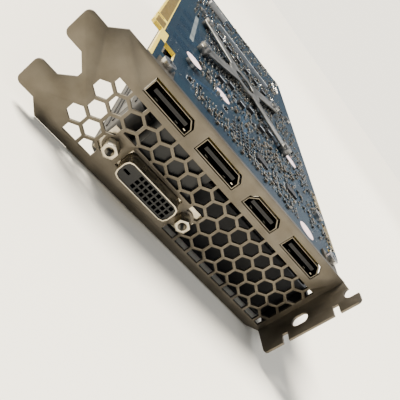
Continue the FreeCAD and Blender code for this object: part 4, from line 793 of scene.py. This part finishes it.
# %% Vias and test pads
VIAS = 420
VIA_RADII = (0.22, 0.28, 0.45)           # the largest is a test pad, with no hole
HEADER_PINS, HEADER_PITCH = 14, 2.54
# Each hole is a black disc laid on its ring: painted shade in place of a real hole.
vias, hole_shade_discs = bmesh.new(), bmesh.new()
count = 0
while count < VIAS:
    x, y = chance.uniform(14, 254), chance.uniform(-4, 96)
    radius = chance.choice(VIA_RADII)
    if (x < 22 and y < 3) or not is_free(x - radius, y - radius, x + radius, y + radius):
        continue
    rod(vias, (x, y, BOARD_FACE + 0.012), radius, 0.024, sides=10)
    if radius < VIA_RADII[-1]:
        rod(hole_shade_discs, (x, y, BOARD_FACE + 0.016), radius * 0.45, 0.028, sides=8)
    taken.append((x - radius, y - radius, x + radius, y + radius))
    count += 1
for k in range(HEADER_PINS):
    for row in (0, 1):
        x, y = 74.0 + k * HEADER_PITCH, 1.2 + row * HEADER_PITCH
        rod(vias, (x, y, BOARD_FACE + 0.02), 0.8, 0.04, sides=14)
        rod(hole_shade_discs, (x, y, BOARD_FACE + 0.03), 0.48, 0.05, sides=12)
finish_piece("vias", vias, TIN)
finish_piece("via_hole_shade_discs", hole_shade_discs, CHIP_BLACK)

# %% [markdown]
# ## Paper strip, clip and printed lines
# A narrow blank label lies along the slot side. Near the far end a thin steel clip
# is folded to an L and soldered down. The white lines printed round the larger
# parts carry no lettering.

# %% Label
strip = bmesh.new()
block(strip, (74.5, 86.3, BOARD_FACE), (131.5, 88.7, BOARD_FACE + 0.08))
soften(strip, 0.03, 1)
LABEL_GREY = mottled("label_grey", (0.09, 0.11, 0.12), (0.17, 0.19, 0.19), cloud=6,
                     roughness=(0.5, 0.65), grain=0.2, depth=0.006)
finish_piece("label_strip", strip, LABEL_GREY)

# %% Folded clip
clip = bmesh.new()
block(clip, (210.5, 66.0, BOARD_FACE), (224.0, 81.5, BOARD_FACE + 0.5))
block(clip, (210.5, 66.0, BOARD_FACE), (211.1, 81.5, BOARD_FACE + 3.6))
block(clip, (210.5, 81.0, BOARD_FACE), (224.0, 81.5, BOARD_FACE + 2.4))
soften(clip, 0.12, 2)
CLIP_NICKEL = mottled("clip_nickel", (0.62, 0.60, 0.56), (0.76, 0.74, 0.70), cloud=4,
                      roughness=(0.35, 0.5), metallic=0.2, grain=0.2, depth=0.004)
finish_piece("folded_clip", clip, CLIP_NICKEL)

# %% Printed lines
ink = bmesh.new()
INK = mottled("printed_white", (0.55, 0.56, 0.56), (0.70, 0.70, 0.69), cloud=1,
              roughness=(0.5, 0.6), grain=0.1, depth=0.004)
INK_HEIGHT = 0.02


def printed_frame(low, high, around, width):
    """Four printed lines round a part."""
    x_low, y_low, x_high, y_high = (low.x - around, low.y - around,
                                    high.x + around, high.y + around)
    for a, b in (((x_low, y_low), (x_high, y_low)), ((x_low, y_high), (x_high, y_high)),
                 ((x_low, y_low), (x_low, y_high)), ((x_high, y_low), (x_high, y_high))):
        run(ink, a, b, width, INK_HEIGHT)


for low, high in logic_chips + islands("back_polymer_capacitors"):
    printed_frame(low, high, 0.5, 0.14)
printed_frame(*node_box("gpu_substrate"), 0, 0.18)
finish_piece("printed_lines", ink, INK)

# %% [markdown]
# ## Inside the ports
# A tall port has a thin tongue with ten gilt contacts on each face, and sprung
# fingers of its shell that grip the plug; the small port has nine contacts. The jack
# posts of the wide port are tapped. The contacts are narrow strips laid on the
# tongue, the fingers are short bars just inside the shell, and a thread is drawn as
# a zigzag turned about its axis, which gives rings and not a helix.

# %% Contacts and sprung fingers
contacts, fingers = bmesh.new(), bmesh.new()
CONTACT_PITCH = 1.0
TONGUE_HALF = 0.72                       # contacts lie this far off the middle
CONTACT_FROM, CONTACT_TO = 2.6, 8.0      # along the tongue
FINGER_FROM, FINGER_TO = 1.2, 6.0
for port in SMALL_SHELLS:
    low, high = node_box(port)
    middle_y, middle_z = (low.y + high.y) / 2, (low.z + high.z) / 2
    tall = port.startswith("tall")
    count = 10 if tall else 9
    reach = 4.4 if tall else 3.6
    for k in range(count):
        y = middle_y + (k - (count - 1) / 2) * CONTACT_PITCH
        for side in (-1, 1):
            z = middle_z + side * TONGUE_HALF
            block(contacts, (CONTACT_FROM, y - 0.2, z - 0.06),
                  (CONTACT_TO, y + 0.2, z + 0.06))
    for y in (middle_y - reach, middle_y + reach):
        for z in (high.z - 0.75, low.z + 0.55):
            block(fingers, (FINGER_FROM, y - 0.7, z), (FINGER_TO, y + 0.7, z + 0.2))
    if tall:
        block(fingers, (0.5, low.y + 0.9, low.z + 0.9),
              (FINGER_FROM, low.y + 1.9, low.z + 1.4))
soften(fingers, 0.08, 1)
# The contacts wear a dark copy of the gold: painted shade inside the ports.
SHADED_CONTACT_GOLD = mottled("contact_gold_painted_shade", (0.16, 0.12, 0.05), (0.24, 0.18, 0.08), cloud=2,
                       roughness=(0.4, 0.5), metallic=1, grain=0.1, depth=0.002)
finish_piece("port_contacts", contacts, SHADED_CONTACT_GOLD)
finish_piece("port_fingers", fingers, BRIGHT_NICKEL)

# %% Threads of the jack posts
tool = bmesh.new()
THREAD_CREST, THREAD_ROOT, THREAD_STEP = 1.15, 1.40, 0.32    # radii and pitch, mm
THREAD_START, THREAD_END = 0.35, 3.6
for low, high in islands("dvi_jack_posts"):
    middle_y, middle_z = (low.y + high.y) / 2, (low.z + high.z) / 2
    outline = []
    x = low.x + THREAD_START
    while x < low.x + THREAD_END:
        outline.append((x, middle_y + THREAD_ROOT, middle_z))
        outline.append((x + THREAD_STEP / 2, middle_y + THREAD_CREST, middle_z))
        x += THREAD_STEP
    turned(tool, outline, (0, middle_y, middle_z), (1, 0, 0), 24)
# The threads wear the darker nickel: painted shade inside the posts' holes.
finish_piece("jack_post_threads", tool, SHADED_NICKEL, crease=20)

# %% [markdown]
# ## Fans
# A fan rotor is one moulding: a cup that holds the magnet and a ring of thin
# curved blades, with a plain disc on its hub. The cup is turned from its section.
# One blade is a grid whose points sweep round as they go out and rise along its
# width, made into a wall, and the others are copies of it turned about the shaft.

# %% One blade
BLADES = 9
BLADE_STEPS = 9                          # cells of the grid, each way
BLADE_WALL = 0.9                         # mm
HUB_RADIUS = 18.5
TIP_GAP, ROOT_INSIDE = 0.3, 0.4          # from the CAD rotor's edge, and into the hub
SWEEP, SWEEP_POWER = 26, 1.3             # degrees at the tip, and how late it comes
HALF_CHORD, CHORD_TAPER = 17.5, 3.0      # degrees
RISE, RISE_TAPER, CUP = 3.3, 0.9, 0.25   # mm, mm, and a share of the rise


def blade(tool, centre_x, centre_y, middle_z, tip):
    """A flat grid moved into a swept and cupped blade, then given its wall."""
    root = HUB_RADIUS - ROOT_INSIDE
    grid = bmesh.ops.create_grid(tool, x_segments=BLADE_STEPS, y_segments=BLADE_STEPS,
                                 size=1)["verts"]
    for vertex in grid:
        out, across = (vertex.co.x + 1) / 2, vertex.co.y
        radius = root + (tip - root) * out
        angle = (math.radians(SWEEP) * out ** SWEEP_POWER
                 + math.radians(HALF_CHORD - CHORD_TAPER * out) * across)
        rise = RISE - RISE_TAPER * out
        vertex.co = at(centre_x + radius * math.cos(angle),
                       centre_y + radius * math.sin(angle),
                       middle_z + rise * (across - CUP * (1 - across * across)))
    bmesh.ops.recalc_face_normals(tool, faces=tool.faces)
    bmesh.ops.solidify(tool, geom=tool.faces[:], thickness=BLADE_WALL * MM)
    bmesh.ops.recalc_face_normals(tool, faces=tool.faces)
    soften(tool, 0.2, 1, 50)


print("blades to a fan:", BLADES)

# %% Rotors
UPRIGHT = (0, 0, 1)


def turned_upright(tool, section, x, y, steps):
    """Turns a section, given as radii and heights, about an upright axis."""
    turned(tool, [(x + radius, y, z) for radius, z in section], (x, y, 0), UPRIGHT, steps)


for k in (1, 2):
    low, high = node_box(f"fan_{k}_rotor")
    centre_x, centre_y = (low.x + high.x) / 2, (low.y + high.y) / 2
    tool = bmesh.new()
    blade(tool, centre_x, centre_y, (low.z + high.z) / 2, (high.x - low.x) / 2 - TIP_GAP)
    bmesh.ops.spin(tool, geom=tool.verts[:] + tool.edges[:] + tool.faces[:],
                   cent=at(centre_x, centre_y, 0), axis=UPRIGHT, use_duplicate=True,
                   angle=2 * math.pi * (BLADES - 1) / BLADES, steps=BLADES - 1)
    cup = [  # radius and height of the cup's section: under, rim, inside
        (0, low.z + 0.05), (9.0, low.z + 0.05), (9.4, low.z + 0.35),
        (15.6, low.z + 0.35), (16.0, low.z + 0.05), (17.2, low.z + 0.15),
        (18.1, low.z + 0.6), (HUB_RADIUS, low.z + 1.5), (HUB_RADIUS, high.z - 0.2),
        (HUB_RADIUS - 0.2, high.z), (17.25, high.z), (17.1, high.z - 0.2),
        (17.1, low.z + 1.5), (1.6, low.z + 1.5)]
    turned_upright(tool, cup, centre_x, centre_y, 64)
    bmesh.ops.remove_doubles(tool, verts=tool.verts, dist=0.001 * MM)
    finish_piece(f"fan_{k}_rotor_finished", tool, FAN_BLACK,
                 body=f"fan_{k}", stands_for=(f"fan_{k}_rotor",), crease=28)
    badge = bmesh.new()
    disc = [(0, low.z), (6.2, low.z), (6.5, low.z + 0.05), (6.5, low.z + 0.12)]
    turned_upright(badge, disc, centre_x, centre_y, 48)
    bmesh.ops.remove_doubles(badge, verts=badge.verts, dist=0.001 * MM)
    finish_piece(f"fan_{k}_hub_disc", badge, SHROUD_GREY,
                 body=f"fan_{k}", crease=40)

# %% Windings on the stators
POLES, LAPS = 9, 5
FIRST_LAP, LAP_STEP = 0.52, 0.075        # shares of the stator's radius
LAP_HALF_THICK, LAP_HALF_WIDE = 0.35, 1.5
for k in (1, 2):
    low, high = node_box(f"fan_{k}_stator")
    centre_x, centre_y = (low.x + high.x) / 2, (low.y + high.y) / 2
    reach = (high.x - low.x) / 2
    tool = bmesh.new()
    half = Vector((LAP_HALF_THICK, LAP_HALF_WIDE, (high.z - low.z) / 2 - 0.2))
    for step in range(POLES):
        angle = 2 * math.pi * step / POLES
        for lap in range(LAPS):
            radius = reach * (FIRST_LAP + LAP_STEP * lap)
            middle = Vector((centre_x + radius * math.cos(angle),
                             centre_y + radius * math.sin(angle), (low.z + high.z) / 2))
            block(tool, middle - half, middle + half, math.degrees(angle))
    soften(tool, 0.15, 1)
    finish_piece(f"fan_{k}_windings", tool, COPPER)

# %% [markdown]
# ## Shroud
# The shroud is a thin black moulding. Its face is set back a little inside a
# raised rim round each fan, with four painted strips between the fans and a short
# one in each corner. The side walls carry long shallow ribs and a row of panels.
# The face keeps its CAD outline; its outer skin is moved in by the height of the
# trim, so the trim is the lowest part and the card still rests at the same height.

# %% Face and rims
TRIM = 0.5
face_low, face_high = node_box("shroud_face")
tool = copy_of("shroud_face")
for vertex in tool.verts:
    if from_bracket(vertex.co).z < face_low.z + 0.1:
        vertex.co.z += TRIM * MM
soften(tool, 0.3, 2)
finish_piece("shroud_face_finished", tool, SHROUD_BLACK,
             stands_for=("shroud_face",))

rims = bmesh.new()
fan_middles = []
for k in (1, 2):
    low, high = node_box(f"fan_{k}_duct")
    centre_x, centre_y = (low.x + high.x) / 2, (low.y + high.y) / 2
    outer = (high.x - low.x) / 2
    fan_middles.append((centre_x, centre_y, outer))
    rim = [(outer + 0.05, face_low.z + TRIM + 0.1), (outer + 0.15, face_low.z + 0.1),
           (outer + 0.35, face_low.z), (outer + 1.4, face_low.z),
           (outer + 1.9, face_low.z + TRIM + 0.1)]
    turned_upright(rims, rim, centre_x, centre_y, 96)
finish_piece("fan_rims", rims, SHROUD_GREY)

# %% Painted strips
STRIP_LEAN, STRIP_SHIFT, STRIP_OUT = 24, 9, 26     # degrees, mm, mm
STRIP_HALF = (2.2, 13)                             # half its width and length
CORNER_IN, CORNER_HALF = 7, (4, 0.8)
strips = bmesh.new()
trim_top = face_low.z + TRIM + 0.1
middle_x = (fan_middles[0][0] + fan_middles[1][0]) / 2
middle_y = fan_middles[0][1]
for sign in (-1, 1):
    for lean, shift in ((STRIP_LEAN, -STRIP_SHIFT), (-STRIP_LEAN, STRIP_SHIFT)):
        x, y = middle_x + shift, middle_y + sign * STRIP_OUT
        block(strips, (x - STRIP_HALF[0], y - STRIP_HALF[1], face_low.z),
              (x + STRIP_HALF[0], y + STRIP_HALF[1], trim_top), sign * lean)
for x in (face_low.x + CORNER_IN, face_high.x - CORNER_IN):
    for y in (face_low.y + CORNER_IN, face_high.y - CORNER_IN):
        block(strips, (x - CORNER_HALF[0], y - CORNER_HALF[1], face_low.z),
              (x + CORNER_HALF[0], y + CORNER_HALF[1], trim_top),
              45 if (x < middle_x) == (y > middle_y) else -45)
soften(strips, 0.3, 2)
finish_piece("painted_strips", strips, SHROUD_GREY)

# %% Ribs and panels of the side walls
ribs, panels = bmesh.new(), bmesh.new()
walls_low, walls_high = node_box("shroud_walls")
PROUD = 0.4           # of the walls, inside the CAD box that the bracket sets
PANELS = 14
PANEL_LOW, PANEL_HIGH = 8.8, 14.6        # above the walls' lowest edge
start, end = face_low.x + 10, face_high.x - 10
for z in (walls_low.z + 3.5, walls_low.z + 6.5, walls_high.z - 4.0):
    for y_low, y_high in ((walls_low.y - PROUD, walls_low.y + 0.2),
                          (walls_high.y - 0.2, walls_high.y + PROUD)):
        block(ribs, (start, y_low, z), (end, y_high, z + 1.0))
for k in range(PANELS):
    x = start + 8 + k * (end - start - 16) / (PANELS - 1)
    for y_low, y_high in ((walls_low.y - 0.1, walls_low.y + 0.3),
                          (walls_high.y - 0.3, walls_high.y + 0.1)):
        block(panels, (x - 5, y_low, walls_low.z + PANEL_LOW),
              (x + 5, y_high, walls_low.z + PANEL_HIGH))
soften(ribs, 0.25, 2)
soften(panels, 0.08, 1)
finish_piece("shroud_ribs", ribs, SHROUD_BLACK)
finish_piece("shroud_side_panels", panels, FAN_BLACK)

# %% [markdown]
# ## Floor and light
# The floor is a wide pale disc, and the world behind it has the same tone where
# the camera sees it, so there is hardly a horizon. The main light is a soft sun
# from above the slot edge, a little behind the bracket: the bracket's face is then
# in soft shade and mirrors the floor, and its cut edges catch the light. A broad
# lamp fills from the camera's right, a weak small one lights the bracket from in
# front, and another lights the far side.

# %% Floor
FLOOR_RADIUS = 9.0
tool = bmesh.new()
bmesh.ops.create_circle(tool, cap_ends=True, segments=96, radius=FLOOR_RADIUS)
floor_mesh = bpy.data.meshes.new("floor")
tool.to_mesh(floor_mesh)
tool.free()
floor = bpy.data.objects.new("floor", floor_mesh)
bpy.context.scene.collection.objects.link(floor)
floor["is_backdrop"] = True
FLOOR_COLOUR = (0.95, 0.905, 0.80, 1.0)
FLOOR_ROUGHNESS, FLOOR_SPECULAR = 0.9, 0.1
paper = bpy.data.materials.new("pale_floor")
paper.use_nodes = True
paper_shader = paper.node_tree.nodes["Principled BSDF"]
paper_shader.inputs["Base Color"].default_value = FLOOR_COLOUR
paper_shader.inputs["Roughness"].default_value = FLOOR_ROUGHNESS
paper_shader.inputs["Specular IOR Level"].default_value = FLOOR_SPECULAR
floor_mesh.materials.append(paper)
print("floor radius:", FLOOR_RADIUS, "m")

# %% World: one tone for the room's light, another for what is seen behind
ROOM_LIGHT = (0.80, 0.88, 1.0, 1.0)
ROOM_STRENGTH = 0.20
BEHIND = (1.30, 1.22, 1.05, 1.0)
world = bpy.data.worlds.new("studio")
bpy.context.scene.world = world
world.use_nodes = True
world_nodes, world_links = world.node_tree.nodes, world.node_tree.links
room = world_nodes["Background"]
room.inputs["Color"].default_value = ROOM_LIGHT
room.inputs["Strength"].default_value = ROOM_STRENGTH
behind = world_nodes.new("ShaderNodeBackground")
behind.inputs["Color"].default_value = BEHIND
ray = world_nodes.new("ShaderNodeLightPath")
either = world_nodes.new("ShaderNodeMixShader")
world_links.new(ray.outputs["Is Camera Ray"], either.inputs[0])
world_links.new(room.outputs[0], either.inputs[1])
world_links.new(behind.outputs[0], either.inputs[2])
world_links.new(either.outputs[0], world_nodes["World Output"].inputs["Surface"])
print("world ready")

# %% Lamps


def lamp(name, kind, place, target, power, colour, size=0.7):
    """A lamp that shines toward a target. A sun's size is an angle, in radians."""
    data = bpy.data.lights.new(name, kind)
    if kind == "SUN":
        data.angle = size
    else:
        data.size = size
    data.energy = power
    data.color = colour
    made = bpy.data.objects.new(name, data)
    bpy.context.scene.collection.objects.link(made)
    aim = (target - place).to_track_quat("-Z", "Y")
    made.matrix_world = Matrix.Translation(place) @ aim.to_matrix().to_4x4()
    print(name, "at", tuple(round(c, 2) for c in place))


CARD_MIDDLE = at(60, 50, -10)
SUN_FROM = Vector((0.34, 0.60, 0.74))
FILL_FROM = right * 0.9 + back * 0.6
FAR_FROM = Vector((0.7, -0.6, 0.7))
KEY_WARM, COOL = (1.0, 0.955, 0.87), (0.95, 0.97, 1.0)
FRONT_WARM, FAR_WARM = (1.0, 0.97, 0.92), (1.0, 0.98, 0.95)
lamp("key_sun", "SUN", CARD_MIDDLE + SUN_FROM, CARD_MIDDLE, 6.0, KEY_WARM, 0.35)
lamp("fill_lamp", "AREA", CARD_MIDDLE + FILL_FROM, CARD_MIDDLE, 1.0, COOL)
lamp("front_lamp", "AREA", at(-260, -120, 40), at(0, 30, -20), 0.35, FRONT_WARM, 0.35)
lamp("far_lamp", "AREA", CARD_MIDDLE + FAR_FROM, CARD_MIDDLE, 2.5, FAR_WARM)

# %% Tone of the picture
EXPOSURE = 0.5
bpy.context.scene.view_settings.view_transform = "AgX"
bpy.context.scene.view_settings.look = "AgX - Medium High Contrast"
bpy.context.scene.view_settings.exposure = EXPOSURE
print("exposure:", EXPOSURE)

# %% [markdown]
# ## The last step
# The boxes of the CAD model and of the finished model are kept beside each other
# and printed.

# %% Print the boxes and finish
sizes = {"cad": cad_box, "visual": [list(corner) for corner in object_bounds()]}
print("CAD box:", cad_box)
print("visual box:", sizes["visual"])
